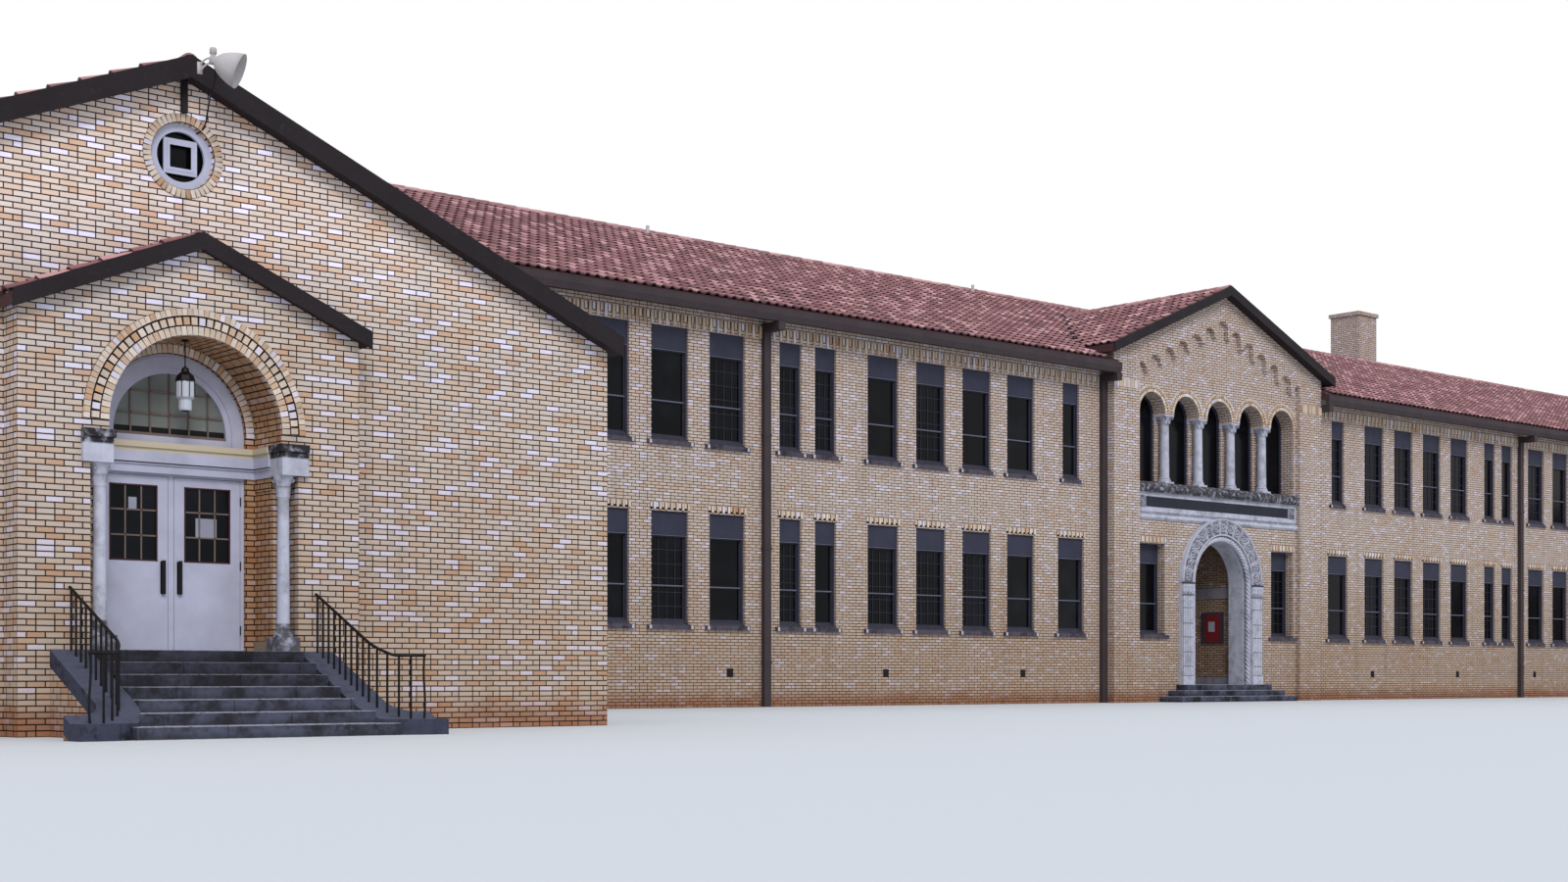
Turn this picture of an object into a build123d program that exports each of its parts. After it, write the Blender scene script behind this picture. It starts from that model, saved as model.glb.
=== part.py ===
from build123d import *
import math
import os

os.makedirs("parts", exist_ok=True)

# Two-storey brick school with a central pavilion and a gabled hall at each end.
# It is a 1:10 model: 100 mm here is one metre of the building. X runs along the
# front with 0 on the pavilion's axis, Y = 0 is the front face of the main wall
# and +Y goes to the back. Z = 0 is the lowest ground, at the foot of the steps.

# Main block
half_length = 4274.0
block_depth = 1510.0
wall = 36.0
roof_pitch = 5.0 / 12.0
ridge_height = 1247.0
roof_thickness = 24.0
eave_overhang = 50.0
verge_overhang = 20.0
floor_thickness = 12.0
upper_floor_height = 507.0

# Windows of the two storeys
lower_sill = 189.0
lower_head = 434.0
upper_sill = 595.0
upper_head = 843.0
window_width = 103.0
narrow_width = 67.0
window_pitch = 163.5
windows_in_room = 4
first_window = 611.0
first_upper_width = 65.0
first_room = 806.0
room_count = 3
last_room_margin = 534.0
pair_offset = 678.5
pair_gap = 110.0
hall_clearance = 144.0
sill_thickness = 15.0
sill_projection = 6.0
sill_horn = 13.0
frame_setback = 6.0
frame_depth = 11.0
frame_face = 5.0
head_panel = 53.0
glass_thickness = 2.0
glass_margin = 8.0
vent_size = 20.0
vent_height = 78.0
vent_depth = 12.0
vent_count = 3
vent_offset = 8.0

# Eaves, pipes and chimney
gutter_drop = 10.0
gutter_height = 28.0
gutter_width = 12.0
gutter_foot = 8.0
downspout_width = 20.0
downspout_depth = 12.0
downspout_offset = 111.0
ridge_tile_radius = 13.0
ridge_tile_wall = 2.0
chimney_from_end = 2294.0
chimney_size = 120.0
chimney_behind_ridge = 90.0
chimney_top = 1440.0
chimney_cap = 14.0
chimney_cap_lip = 6.0
vent_pipe_radius = 4.5
vent_pipe_places = (-1470.0, -240.0)
vent_pipe_rise = 26.0
vent_pipe_from_ridge = 45.0

# Pavilion
pavilion_half = 476.0
pier_width = 108.0
pier_projection = 33.0
centre_projection = 20.0
pavilion_drop = 82.0
pavilion_roof_thickness = 20.0
pavilion_verge = 25.0
pavilion_eave = 30.0
pavilion_window_x = 298.0
pavilion_window_width = 108.0
band_bottom = 498.0
band_top = 602.0
band_moulding = 19.0
band_cornice = 30.0
arch_count = 5
arch_pitch = 149.0
arch_radius = 55.0
arcade_spring = 792.0
arcade_top = 860.0
arcade_front_layer = 36.0
arcade_column_radius = 13.5
arcade_column_base = 12.0
arcade_plinth = 5.0
arcade_abacus = 5.0
arcade_impost = 14.0
arcade_capital = 21.0
arcade_window_setback = 42.0
corbel_pitch = 60.0
corbel_width = 18.0
corbel_height = 18.0
corbel_drop = 113.0

# Portal
portal_outer = 183.0
portal_rope_outer = 136.0
portal_opening = 118.0
portal_spring = 332.0
portal_projection = 13.0
rope_radius = 9.0
portal_impost = 27.0
portal_base = 24.0
portal_ledge = 4.0
platform_height = 48.0
platform_half = 194.0
platform_reach = 39.0
platform_tread = 18.5
platform_side = 36.0
vestibule_half = 130.0
vestibule_depth = 180.0
vestibule_wall = 20.0
vestibule_ceiling = 470.0
portal_door_half = 95.0
portal_door_head = 283.0
board_low = (62.0, 166.0)
board_high = (140.0, 257.0)
board_thickness = 3.0

# Halls at the two ends
hall_half = 630.0
hall_front = 1228.0
hall_front_wall = 45.0
hall_wall_apex = 788.0
hall_roof_thickness = 20.0
hall_verge = 20.0
hall_eave = 12.0
hall_window_pitch = 240.0
hall_windows_each_side = 4
rake_board = 27.0
rake_thickness = 5.0
rake_lap = 3.0
oculus_height = 695.5
oculus_radius = 40.0
oculus_frame = 9.0
oculus_light = 15.0
oculus_depth = 8.0
oculus_setback = 6.0

# Porch on each hall
porch_half = 215.0
porch_projection = 41.0
porch_apex = 577.0
porch_roof_thickness = 14.0
porch_verge = 12.0
porch_eave = 10.0
landing_height = 99.4
recess_half = 108.6
inner_half = 95.6
recess_depth = 70.0
recess_spring = 365.0
nook = 22.4
nook_depth = 25.0
column_radius = 10.0
pedestal_size = 30.0
pedestal_height = 17.0
column_base = 14.0
capital_height = 28.0
impost_bottom = 315.0
impost_top = 353.0
impost_outer = 142.0
impost_projection = 7.0
impost_cap = 9.0
impost_lip = 2.5
entablature_bottom = 314.0
entablature_top = 351.0
entablature_depth = 5.0
entablature_cap = 7.0
entablature_lip = 2.5

# Doors
door_frame_face = 4.6
door_frame_depth = 12.0
door_frame_setback = 5.0
leaf_thickness = 4.5
leaf_setback = 5.0
leaf_gap = 0.6
mullion_width = 7.0
hinge_radius = 0.8
hinge_play = 0.1
hinge_height = 11.0
hinge_places = (0.12, 0.5, 0.88)
glazing_side = 13.0
glazing_top = 11.0
glazing_height = 92.0
pull_height = 41.0
pull_rise = 69.0
pull_inset = 6.5
pull_width = 4.6
pull_thickness = 1.2
pull_standoff = 4.5
threshold = 1.2

# Steps, cheeks and railings before each porch
riser_count = 7
tread = 30.0
landing_front = 16.0
flight_half_top = 131.0
flight_half_foot = 160.0
flare_risers = 3
cheek_line = 155.0
cheek_width = 46.0
coping_thickness = 20.0
cheek_straight = 126.0
cheek_radius = 50.0
cheek_tail = 18.0
coping_foot = 18.4
rail_width = 4.0
rail_depth = 3.0
rail_start = 172.0
rail_foot = 95.0
baluster_size = 2.0
balusters = 15

# Lantern and floodlight
lantern_radius = 12.5
lantern_body = 20.0
lantern_low_radius = 8.0
lantern_low = 17.0
lantern_bottom = 387.0
lantern_rod = 0.9
lantern_canopy = 6.0
soffit_gap = 0.3
flood_radius = 21.5
flood_length = 26.0
flood_collar = 8.0
flood_neck = 6.0
flood_neck_length = 9.0
flood_shell = 1.2
flood_place = (14.0, -50.0, 8.5)
flood_aim = (0.545, -0.762, -0.36)
flood_arm = 1.4
flood_arm_spread = 5.0
flood_box = 3.7
flood_box_height = 17.0
post_width = 7.0
post_depth = 4.0
post_foot = 750.0


def elevation(y):
    """Upright plane at depth y, whose sketch is drawn in X and Z."""
    return Plane.XZ.offset(-y)


def section(x):
    """Upright plane at x, whose sketch is drawn in Y and Z."""
    return Plane.YZ.offset(x)


def block(x, y, z, mode=Mode.ADD):
    """Box between two values of each axis."""
    middle = ((x[0] + x[1]) / 2, (y[0] + y[1]) / 2, (z[0] + z[1]) / 2)
    with Locations(middle):
        Box(abs(x[1] - x[0]), abs(y[1] - y[0]), abs(z[1] - z[0]), mode=mode)


def prism_along_x(points, low, high, mode=Mode.ADD):
    """Section in Y and Z, carried from one x to another."""
    with BuildSketch(section(low)) as profile:
        Polygon(*points, align=None)
    extrude(profile.sketch, amount=high - low, dir=(1, 0, 0), mode=mode)


def prism_along_y(points, low, high, mode=Mode.ADD):
    """Elevation in X and Z, carried from one y to another."""
    with BuildSketch(elevation(low)) as profile:
        Polygon(*points, align=None)
    extrude(profile.sketch, amount=high - low, dir=(0, 1, 0), mode=mode)


def arched_opening(x, half, bottom, spring, low, high, mode=Mode.SUBTRACT):
    """Round-headed opening through a wall between two depths."""
    with BuildSketch(elevation(low)) as profile:
        with Locations((x, spring)):
            Circle(half)
            Rectangle(2 * half, 2 * half + spring - bottom, align=(Align.CENTER, Align.MAX))
        with Locations((x, bottom)):
            Rectangle(4 * half, 4 * half, align=(Align.CENTER, Align.MAX), mode=Mode.SUBTRACT)
    extrude(profile.sketch, amount=high - low, dir=(0, 1, 0), mode=mode)


def finish(piece, name):
    """Label a piece and write its file."""
    piece.part.label = name
    export_step(piece.part, f"parts/{name}.step")


# Places that follow from the sizes
ridge_y = block_depth / 2
hall_x = half_length - hall_half
room_pitch = (half_length - first_room - last_room_margin) / room_count
front_windows_end = hall_x - hall_half - hall_clearance
downspout_place = first_room + room_pitch - downspout_offset
vent_places = [first_room - vent_offset + i * room_pitch / 2 for i in range(vent_count)]
chimney_x = half_length - chimney_from_end
pavilion_ridge = ridge_height - pavilion_drop
roof_edge_x = half_length + verge_overhang
pier_front = -pier_projection
centre_front = -centre_projection
centre_half = pavilion_half - pier_width
porch_front = -hall_front - porch_projection
hall_inside = -hall_front + hall_front_wall
recess_back = porch_front + recess_depth
riser = landing_height / riser_count
ground_floor_height = landing_height


def roof_height(y):
    """Upper surface of the main roof over depth y."""
    return ridge_height - roof_pitch * abs(y - ridge_y)


def gable_line(apex, x):
    """Height on a gable slope at a distance x from its apex."""
    return apex - roof_pitch * abs(x)


def room_windows(rooms, with_pairs, end):
    """Places and widths of one half's windows, from the axis outwards."""
    places = []
    for room in range(rooms):
        start = first_room + room * room_pitch
        places += [(start + i * window_pitch, window_width) for i in range(windows_in_room)]
        if with_pairs:
            places += [(start + pair_offset + i * pair_gap, narrow_width) for i in range(2)]
    return [place for place in places if place[0] + place[1] / 2 < end]


def windows_along(places, y, turn, storeys):
    """Windows of a wall: x, y, turn, width, sill and head of each."""
    return [(x, y, turn, width, sill, head) for x, width in places for sill, head in storeys]


def mirrored(places):
    """The same places on the left and right of the axis."""
    return [(side * x, width) for x, width in places for side in (-1, 1)]


lower_storey = ((lower_sill, lower_head),)
both_storeys = ((lower_sill, lower_head), (upper_sill, upper_head))
upper_storey = ((upper_sill, upper_head),)
next_to_pavilion = [(first_window, window_width)]
front_places = mirrored(room_windows(room_count, True, front_windows_end))
back_places = mirrored(next_to_pavilion + room_windows(room_count + 1, False, half_length - 2 * wall))
back_places += [((i - 1.5) * window_pitch, window_width) for i in range(4)]
pavilion_places = mirrored([(pavilion_window_x, pavilion_window_width)])
front_windows = windows_along(front_places, 0, 0, both_storeys)
front_windows += windows_along(mirrored(next_to_pavilion), 0, 0, lower_storey)
front_windows += windows_along(mirrored([(first_window, first_upper_width)]), 0, 0, upper_storey)
back_windows = windows_along(back_places, block_depth, 180, both_storeys)
pavilion_windows = windows_along(pavilion_places, centre_front, 0, lower_storey)
hall_window_places = [
    hall_inside / 2 + (i - (hall_windows_each_side - 1) / 2) * hall_window_pitch
    for i in range(hall_windows_each_side)
]
hall_windows = [
    (side * hall_x + edge * hall_half, y, edge * 90, window_width, lower_sill, lower_head)
    for side in (-1, 1)
    for edge in (-1, 1)
    for y in hall_window_places
]

# Outline of the space under the main roof, which the walls are trimmed to
under_eave = (-eave_overhang, roof_height(-eave_overhang) - roof_thickness)
under_ridge = (ridge_y, ridge_height - roof_thickness)
back_eave = block_depth + eave_overhang
under_back = (back_eave, roof_height(back_eave) - roof_thickness)
under_main_roof = (
    (-eave_overhang, 0), under_eave, under_ridge, under_back, (back_eave, 0),
)


def by_size(windows):
    """Windows grouped by width, sill and head, each group as locations on its wall."""
    for size in sorted({window[3:] for window in windows}):
        yield size, [Location((x, y, 0), (0, 0, turn)) for x, y, turn, *own in windows if tuple(own) == size]


def window_holes(windows):
    """Cut the openings of these windows and of their sills through the wall."""
    for (width, sill, head), places in by_size(windows):
        with Locations(*places):
            with Locations((0, 0, sill - sill_thickness)):
                Box(
                    width,
                    wall,
                    head - sill + sill_thickness,
                    align=(Align.CENTER, Align.MIN, Align.MIN),
                    mode=Mode.SUBTRACT,
                )


# Front walls left and right of the pavilion, with their window openings
with BuildPart() as front_walls:
    for side in (-1, 1):
        block((side * pavilion_half, side * half_length), (0, wall), (0, ridge_height))
    window_holes(front_windows)
    with Locations(*[(side * x, 0, vent_height) for side in (-1, 1) for x in vent_places]):
        Box(vent_size, 2 * vent_depth, vent_size, mode=Mode.SUBTRACT)
    prism_along_x(under_main_roof, -half_length, half_length, Mode.INTERSECT)
finish(front_walls, "front_walls")

# Back wall, with the same two storeys of windows
with BuildPart() as back_wall:
    block((-half_length, half_length), (block_depth - wall, block_depth), (0, ridge_height))
    window_holes(back_windows)
    prism_along_x(under_main_roof, -half_length, half_length, Mode.INTERSECT)
finish(back_wall, "back_wall")

# Plain gable walls at the ends of the main block
with BuildPart() as end_walls:
    for side in (-1, 1):
        span = (side * (half_length - wall), side * half_length)
        block(span, (wall, block_depth - wall), (0, ridge_height))
    prism_along_x(under_main_roof, -half_length, half_length, Mode.INTERSECT)
finish(end_walls, "end_walls")

# Floors of the main block and the halls, the lower one open around the vestibule
floor_x = (wall - half_length, half_length - wall)
floor_y = (wall, block_depth - wall)
vestibule_back = wall + vestibule_depth
vestibule_out = vestibule_half + vestibule_wall
with BuildPart() as ground_floors:
    block(floor_x, floor_y, (ground_floor_height - floor_thickness, ground_floor_height))
    block(
        (-vestibule_out, vestibule_out),
        (0, vestibule_back + vestibule_wall),
        (0, ground_floor_height),
        Mode.SUBTRACT,
    )
    inner = hall_half - wall
    for side in (-1, 1):
        block(
            (side * hall_x - inner, side * hall_x + inner),
            (hall_inside, 0),
            (ground_floor_height - floor_thickness, ground_floor_height),
        )
finish(ground_floors, "ground_floors")

with BuildPart() as upper_floor:
    block(floor_x, floor_y, (upper_floor_height - floor_thickness, upper_floor_height))
finish(upper_floor, "upper_floor")

# Main roof: two slopes that meet at the ridge, notched for the pavilion
with BuildPart() as main_roof:
    for edge in (-eave_overhang, back_eave):
        prism_along_x(
            (
                (edge, roof_height(edge)),
                (ridge_y, ridge_height),
                (ridge_y, ridge_height - roof_thickness),
                (edge, roof_height(edge) - roof_thickness),
            ),
            -roof_edge_x,
            roof_edge_x,
        )
    block(
        (-pavilion_half, pavilion_half),
        (-2 * eave_overhang, wall),
        (0, ridge_height),
        Mode.SUBTRACT,
    )
finish(main_roof, "main_roof")

# Half-round ridge tiles, bedded on both slopes
with BuildPart() as ridge_tiles:
    bed = roof_pitch * ridge_tile_radius
    with BuildSketch(section(-roof_edge_x)):
        with Locations((ridge_y, ridge_height - bed)):
            Circle(ridge_tile_radius)
            Circle(ridge_tile_radius - ridge_tile_wall, mode=Mode.SUBTRACT)
            with Locations((0, -ridge_tile_radius)):
                Rectangle(2 * ridge_tile_radius, 2 * ridge_tile_radius, mode=Mode.SUBTRACT)
    extrude(amount=2 * roof_edge_x)
    prism_along_x(
        (
            (ridge_y - 2 * ridge_tile_radius, roof_height(ridge_y - 2 * ridge_tile_radius)),
            (ridge_y, ridge_height),
            (ridge_y + 2 * ridge_tile_radius, roof_height(ridge_y + 2 * ridge_tile_radius)),
            (ridge_y, ridge_height - 2 * ridge_tile_radius),
        ),
        -roof_edge_x,
        roof_edge_x,
        Mode.SUBTRACT,
    )
finish(ridge_tiles, "ridge_tiles")


def gutter_section(face, height, outward):
    """Moulded gutter against an eave's edge at a given face and height."""
    top = height + gutter_height
    return (
        (face, height),
        (face + outward * gutter_foot, height),
        (face + outward * gutter_width, height + gutter_height / 2),
        (face + outward * gutter_width, top),
        (face, top),
    )


# Eaves gutters of the main block
gutter_bottom = roof_height(-eave_overhang) - roof_thickness - gutter_drop
with BuildPart() as gutters:
    for side in (-1, 1):
        low, high = sorted((side * pavilion_half, side * roof_edge_x))
        prism_along_x(gutter_section(-eave_overhang, gutter_bottom, -1), low, high)
    prism_along_x(gutter_section(back_eave, gutter_bottom, 1), -roof_edge_x, roof_edge_x)
finish(gutters, "gutters")

# Downspouts from the gutters to the ground, front and back
with BuildPart() as downspouts:
    for side in (-1, 1):
        for x in (downspout_place, pavilion_half + downspout_width / 2):
            span = (side * x - downspout_width / 2, side * x + downspout_width / 2)
            block(span, (-downspout_depth, 0), (0, gutter_bottom))
            block(span, (-gutter_width - eave_overhang, 0), (gutter_bottom - downspout_width, gutter_bottom))
            block(span, (block_depth, block_depth + downspout_depth), (0, gutter_bottom))
            block(
                span,
                (block_depth, back_eave + gutter_width),
                (gutter_bottom - downspout_width, gutter_bottom),
            )
finish(downspouts, "downspouts")


def sill_piece(width, top):
    """Weathered stone sill of an opening whose wall faces -Y at y = 0."""
    low = top - sill_thickness
    lip = top - sill_thickness / 3
    with BuildPart(mode=Mode.PRIVATE) as piece:
        prism_along_x(
            (
                (wall, low),
                (-sill_projection, low),
                (-sill_projection, lip),
                (frame_setback, top),
                (wall, top),
            ),
            -width / 2,
            width / 2,
        )
        block((-width / 2 - sill_horn, width / 2 + sill_horn), (-sill_projection, 0), (low, lip))
    return piece.part


def frame_piece(width, sill, head):
    """Window frame of such an opening: a ring under a solid head panel."""
    y = (frame_setback, frame_setback + frame_depth)
    inner = width / 2 - frame_face
    with BuildPart(mode=Mode.PRIVATE) as piece:
        block((-width / 2, width / 2), y, (sill, head))
        block((-inner, inner), y, (sill + frame_face, head - head_panel), Mode.SUBTRACT)
    return piece.part


wall_windows = front_windows + back_windows + hall_windows
all_windows = wall_windows + pavilion_windows
mullions = [
    (side * (first_room + room * room_pitch + pair_offset + pair_gap / 2), top)
    for side in (-1, 1)
    for room in range(room_count)
    for top in (lower_sill, upper_sill)
    if first_room + room * room_pitch + pair_offset + pair_gap + narrow_width < front_windows_end
]

# Stone sills of the main block, the pavilion and the halls, shared by each window pair
sill_kinds = [(places, sill_piece(size[0], size[1])) for size, places in by_size(all_windows)]
with BuildPart() as window_sills:
    for places, piece in sill_kinds:
        with Locations(*places):
            add(piece)
    between = (pair_gap - narrow_width) / 2
    for x, top in mullions:
        block(
            (x - between, x + between),
            (-sill_projection, 0),
            (top - sill_thickness, top - sill_thickness / 3),
        )
finish(window_sills, "window_sills")

# Window frames, set back in the openings, deepest in the pavilion
deep_windows = windows_along(
    pavilion_places, centre_front + wall - frame_depth - frame_setback, 0, lower_storey
)
frame_kinds = [(places, frame_piece(*size)) for size, places in by_size(wall_windows + deep_windows)]
with BuildPart() as window_frames:
    for places, piece in frame_kinds:
        with Locations(*places):
            add(piece)
finish(window_frames, "window_frames")

# Sheets of glass, one a storey, against the inside of each wall
with BuildPart() as window_glass:
    for sill, head in both_storeys:
        z = (sill - glass_margin, head + glass_margin)
        near = first_window - window_width / 2 - glass_margin
        far = max(x + width / 2 for x, width in front_places) + glass_margin
        for side in (-1, 1):
            block((side * near, side * far), (wall, wall + glass_thickness), z)
        reach = max(x + width / 2 for x, width in back_places) + glass_margin
        inside = block_depth - wall
        block((-reach, reach), (inside - glass_thickness, inside), z)
    z = (lower_sill - glass_margin, lower_head + glass_margin)
    for x, width in pavilion_places:
        half = width / 2 + glass_margin
        inside = centre_front + wall
        block((x - half, x + half), (inside, inside + glass_thickness), z)
    reach = (hall_windows_each_side - 1) / 2 * hall_window_pitch + window_width / 2 + glass_margin
    for side in (-1, 1):
        for edge in (-1, 1):
            face = side * hall_x + edge * (hall_half - wall)
            span = (face - edge * glass_thickness, face)
            block(span, (hall_inside / 2 - reach, hall_inside / 2 + reach), z)
finish(window_glass, "window_glass")

# Brick chimney behind the ridge, with a stone cap
chimney_y = ridge_y + chimney_behind_ridge
with BuildPart() as chimney:
    half = chimney_size / 2
    block(
        (chimney_x - half, chimney_x + half),
        (chimney_y - half, chimney_y + half),
        (0, chimney_top - chimney_cap),
    )
    lip = half + chimney_cap_lip
    block(
        (chimney_x - lip, chimney_x + lip),
        (chimney_y - lip, chimney_y + lip),
        (chimney_top - chimney_cap, chimney_top),
    )
    prism_along_x(
        ((-eave_overhang, 0), (-eave_overhang, roof_height(-eave_overhang)), (ridge_y, ridge_height),
         (back_eave, roof_height(back_eave)), (back_eave, 0)),
        -half_length,
        half_length,
        Mode.SUBTRACT,
    )
finish(chimney, "chimney")

# Vent pipes just in front of the ridge
with BuildPart() as roof_vents:
    vent_y = ridge_y - vent_pipe_from_ridge
    for x in vent_pipe_places:
        with BuildSketch(Plane.XY.offset(roof_height(vent_y - vent_pipe_radius))):
            with Locations((x, vent_y)):
                Circle(vent_pipe_radius)
        extrude(amount=vent_pipe_rise)
    prism_along_x(
        ((0, 0), (0, roof_height(0)), (ridge_y, ridge_height), (ridge_y, 0)),
        -half_length,
        half_length,
        Mode.SUBTRACT,
    )
finish(roof_vents, "roof_vents")

# Pavilion: corner piers that run up to the gable's slopes
pavilion_soffit = pavilion_ridge - pavilion_roof_thickness
with BuildPart() as pavilion_piers:
    for side in (-1, 1):
        prism_along_y(
            (
                (side * centre_half, 0),
                (side * pavilion_half, 0),
                (side * pavilion_half, gable_line(pavilion_soffit, pavilion_half)),
                (side * centre_half, gable_line(pavilion_soffit, centre_half)),
            ),
            pier_front,
            wall,
        )
finish(pavilion_piers, "pavilion_piers")

# Lower wall between the piers, split beside and over the portal
centre_back = centre_front + wall
with BuildPart() as pavilion_lower_wall:
    for side in (-1, 1):
        block((side * portal_outer, side * centre_half), (centre_front, centre_back), (0, band_bottom))
    window_holes(pavilion_windows)
finish(pavilion_lower_wall, "pavilion_lower_wall")

with BuildPart() as portal_spandrel:
    block((-portal_outer, portal_outer), (centre_front, wall), (portal_spring, band_bottom))
    arched_opening(0, portal_outer, portal_spring, portal_spring, centre_front, wall)
finish(portal_spandrel, "portal_spandrel")

# Stone band over the portal: lower moulding, plain panel and weathered cornice
with BuildPart() as name_band:
    panel_face = centre_front - band_moulding / 3
    cornice_bottom = band_top - band_cornice
    prism_along_x(
        (
            (wall, band_bottom),
            (centre_front, band_bottom),
            (panel_face, band_bottom + band_moulding / 3),
            (panel_face, band_bottom + band_moulding),
            (centre_front, band_bottom + band_moulding),
            (centre_front, cornice_bottom),
            (panel_face, cornice_bottom),
            (pier_front, cornice_bottom + band_cornice / 3),
            (pier_front, cornice_bottom + band_cornice * 2 / 3),
            (centre_front, band_top),
            (wall, band_top),
        ),
        -centre_half,
        centre_half,
    )
    with BuildSketch(elevation(2 * pier_front)):
        with Locations((0, portal_spring)):
            Circle(portal_outer)
    extrude(amount=4 * pier_front, mode=Mode.SUBTRACT)
    block(
        (-centre_half, centre_half),
        (centre_back, wall),
        (band_bottom, upper_floor_height),
        Mode.SUBTRACT,
    )
finish(name_band, "name_band")

# Arcade: brick piers behind the columns, and jambs at the ends
arch_places = [(i - (arch_count - 1) / 2) * arch_pitch for i in range(arch_count)]
column_places = [(a + b) / 2 for a, b in zip(arch_places, arch_places[1:])]
arcade_end = arch_places[-1] + arch_radius
between_arches = arch_pitch - 2 * arch_radius
column_layer = centre_front + arcade_front_layer
with BuildPart() as arcade_piers:
    for x in column_places:
        half = between_arches / 2
        block((x - half, x + half), (column_layer, wall), (band_top, arcade_spring - arcade_impost))
    for side in (-1, 1):
        block((side * arcade_end, side * centre_half), (centre_front, wall), (band_top, arcade_spring))
finish(arcade_piers, "arcade_piers")

with BuildPart() as arcade_arches:
    block((-centre_half, centre_half), (centre_front, wall), (arcade_spring, arcade_top))
    for x in arch_places:
        arched_opening(x, arch_radius, arcade_spring, arcade_spring, centre_front, wall)
finish(arcade_arches, "arcade_arches")

# Gable over the arcade: its upper part stands forward on corbels with small arches
corbel_apex = pavilion_ridge - corbel_drop
with BuildPart() as pavilion_gable:
    prism_along_y(
        (
            (-centre_half, arcade_top),
            (centre_half, arcade_top),
            (centre_half, gable_line(pavilion_soffit, centre_half)),
            (0, pavilion_soffit),
            (-centre_half, gable_line(pavilion_soffit, centre_half)),
        ),
        centre_front,
        wall,
    )
    prism_along_y(
        (
            (-centre_half, gable_line(corbel_apex, centre_half)),
            (0, corbel_apex),
            (centre_half, gable_line(corbel_apex, centre_half)),
            (centre_half, gable_line(pavilion_soffit, centre_half)),
            (0, pavilion_soffit),
            (-centre_half, gable_line(pavilion_soffit, centre_half)),
        ),
        pier_front,
        centre_front,
    )
    corbels = int(centre_half // corbel_pitch)
    for i in range(-corbels, corbels + 1):
        with BuildSketch(elevation(pier_front)) as profile:
            with Locations((i * corbel_pitch, gable_line(corbel_apex, i * corbel_pitch))):
                Circle((corbel_pitch - corbel_width) / 2)
        extrude(
            profile.sketch, amount=centre_front - pier_front, dir=(0, 1, 0), mode=Mode.SUBTRACT
        )
    for side in (-1, 1):
        for i in range(corbels):
            x = side * (i + 0.5) * corbel_pitch
            top = gable_line(corbel_apex, abs(x) - corbel_width / 2)
            block(
                (x - corbel_width / 2, x + corbel_width / 2),
                (pier_front, centre_front),
                (top - corbel_height, top),
            )
finish(pavilion_gable, "pavilion_gable")

# Cross-gabled roof of the pavilion, trimmed to the main roof
with BuildPart() as pavilion_roof:
    roof_half = pavilion_half + pavilion_eave
    for side in (-1, 1):
        prism_along_y(
            (
                (0, pavilion_ridge),
                (side * roof_half, gable_line(pavilion_ridge, roof_half)),
                (side * roof_half, gable_line(pavilion_soffit, roof_half)),
                (0, pavilion_soffit),
            ),
            pier_front - pavilion_verge,
            ridge_y,
        )
    prism_along_x(
        ((-eave_overhang, 0), (-eave_overhang, roof_height(-eave_overhang)), (ridge_y, ridge_height),
         (ridge_y, 0)),
        -half_length,
        half_length,
        Mode.SUBTRACT,
    )
finish(pavilion_roof, "pavilion_roof")

# Arcade windows: round-headed frames and panes behind the columns
arcade_window_y = centre_front + arcade_window_setback
with BuildPart() as arcade_frames:
    y = (arcade_window_y, arcade_window_y + frame_depth)
    for x in arch_places:
        arched_opening(x, arch_radius, band_top, arcade_spring, *y, mode=Mode.ADD)
        inner = arch_radius - frame_face
        arched_opening(x, inner, band_top + frame_face, arcade_spring, *y)
finish(arcade_frames, "arcade_frames")

with BuildPart() as arcade_glass:
    y = arcade_window_y + frame_depth / 2
    for x in arch_places:
        inner = arch_radius - frame_face
        arched_opening(
            x, inner, band_top + frame_face, arcade_spring, y, y + glass_thickness, mode=Mode.ADD
        )
finish(arcade_glass, "arcade_glass")


def column_profile(x, y, bottom, top, shaft, base, capital, impost):
    """Round column with a moulded base, a slight taper and a flared capital."""
    neck = shaft * 0.88
    shaft_foot = bottom + base
    shaft_top = top - impost - capital
    cap_top = top - impost
    with BuildSketch(section(x)) as profile:
        with BuildLine():
            Polyline(
                (y, bottom),
                (y + shaft * 1.3, bottom),
                (y + shaft * 1.3, bottom + base * 0.4),
                (y + shaft * 1.08, bottom + base * 0.6),
                (y + shaft * 1.18, bottom + base * 0.8),
                (y + shaft, shaft_foot),
                (y + neck, shaft_top),
                (y + neck * 1.15, shaft_top + capital * 0.08),
                (y + neck, shaft_top + capital * 0.16),
            )
            Spline(
                (y + neck, shaft_top + capital * 0.16),
                (y + neck * 1.08, shaft_top + capital * 0.5),
                (y + shaft * 1.3, cap_top - capital * 0.15),
            )
            Polyline(
                (y + shaft * 1.3, cap_top - capital * 0.15),
                (y + shaft * 1.3, cap_top),
                (y, cap_top),
                (y, bottom),
            )
        make_face()
    revolve(profile.sketch.faces(), axis=Axis((x, y, 0), (0, 0, 1)))


# Round columns of the arcade on square plinths, with the impost of the pier behind each
column_y = centre_front + arcade_front_layer / 2
with BuildPart() as arcade_columns:
    for x in column_places:
        half = between_arches / 2
        across = (x - half, x + half)
        block(across, (centre_front, column_layer), (band_top, band_top + arcade_plinth))
        column_profile(
            x, column_y, band_top + arcade_plinth, arcade_spring, arcade_column_radius,
            arcade_column_base, arcade_capital, arcade_abacus,
        )
        block(across, (centre_front, column_layer), (arcade_spring - arcade_abacus, arcade_spring))
        block(across, (column_layer, wall), (arcade_spring - arcade_impost, arcade_spring))
finish(arcade_columns, "arcade_columns")

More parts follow.
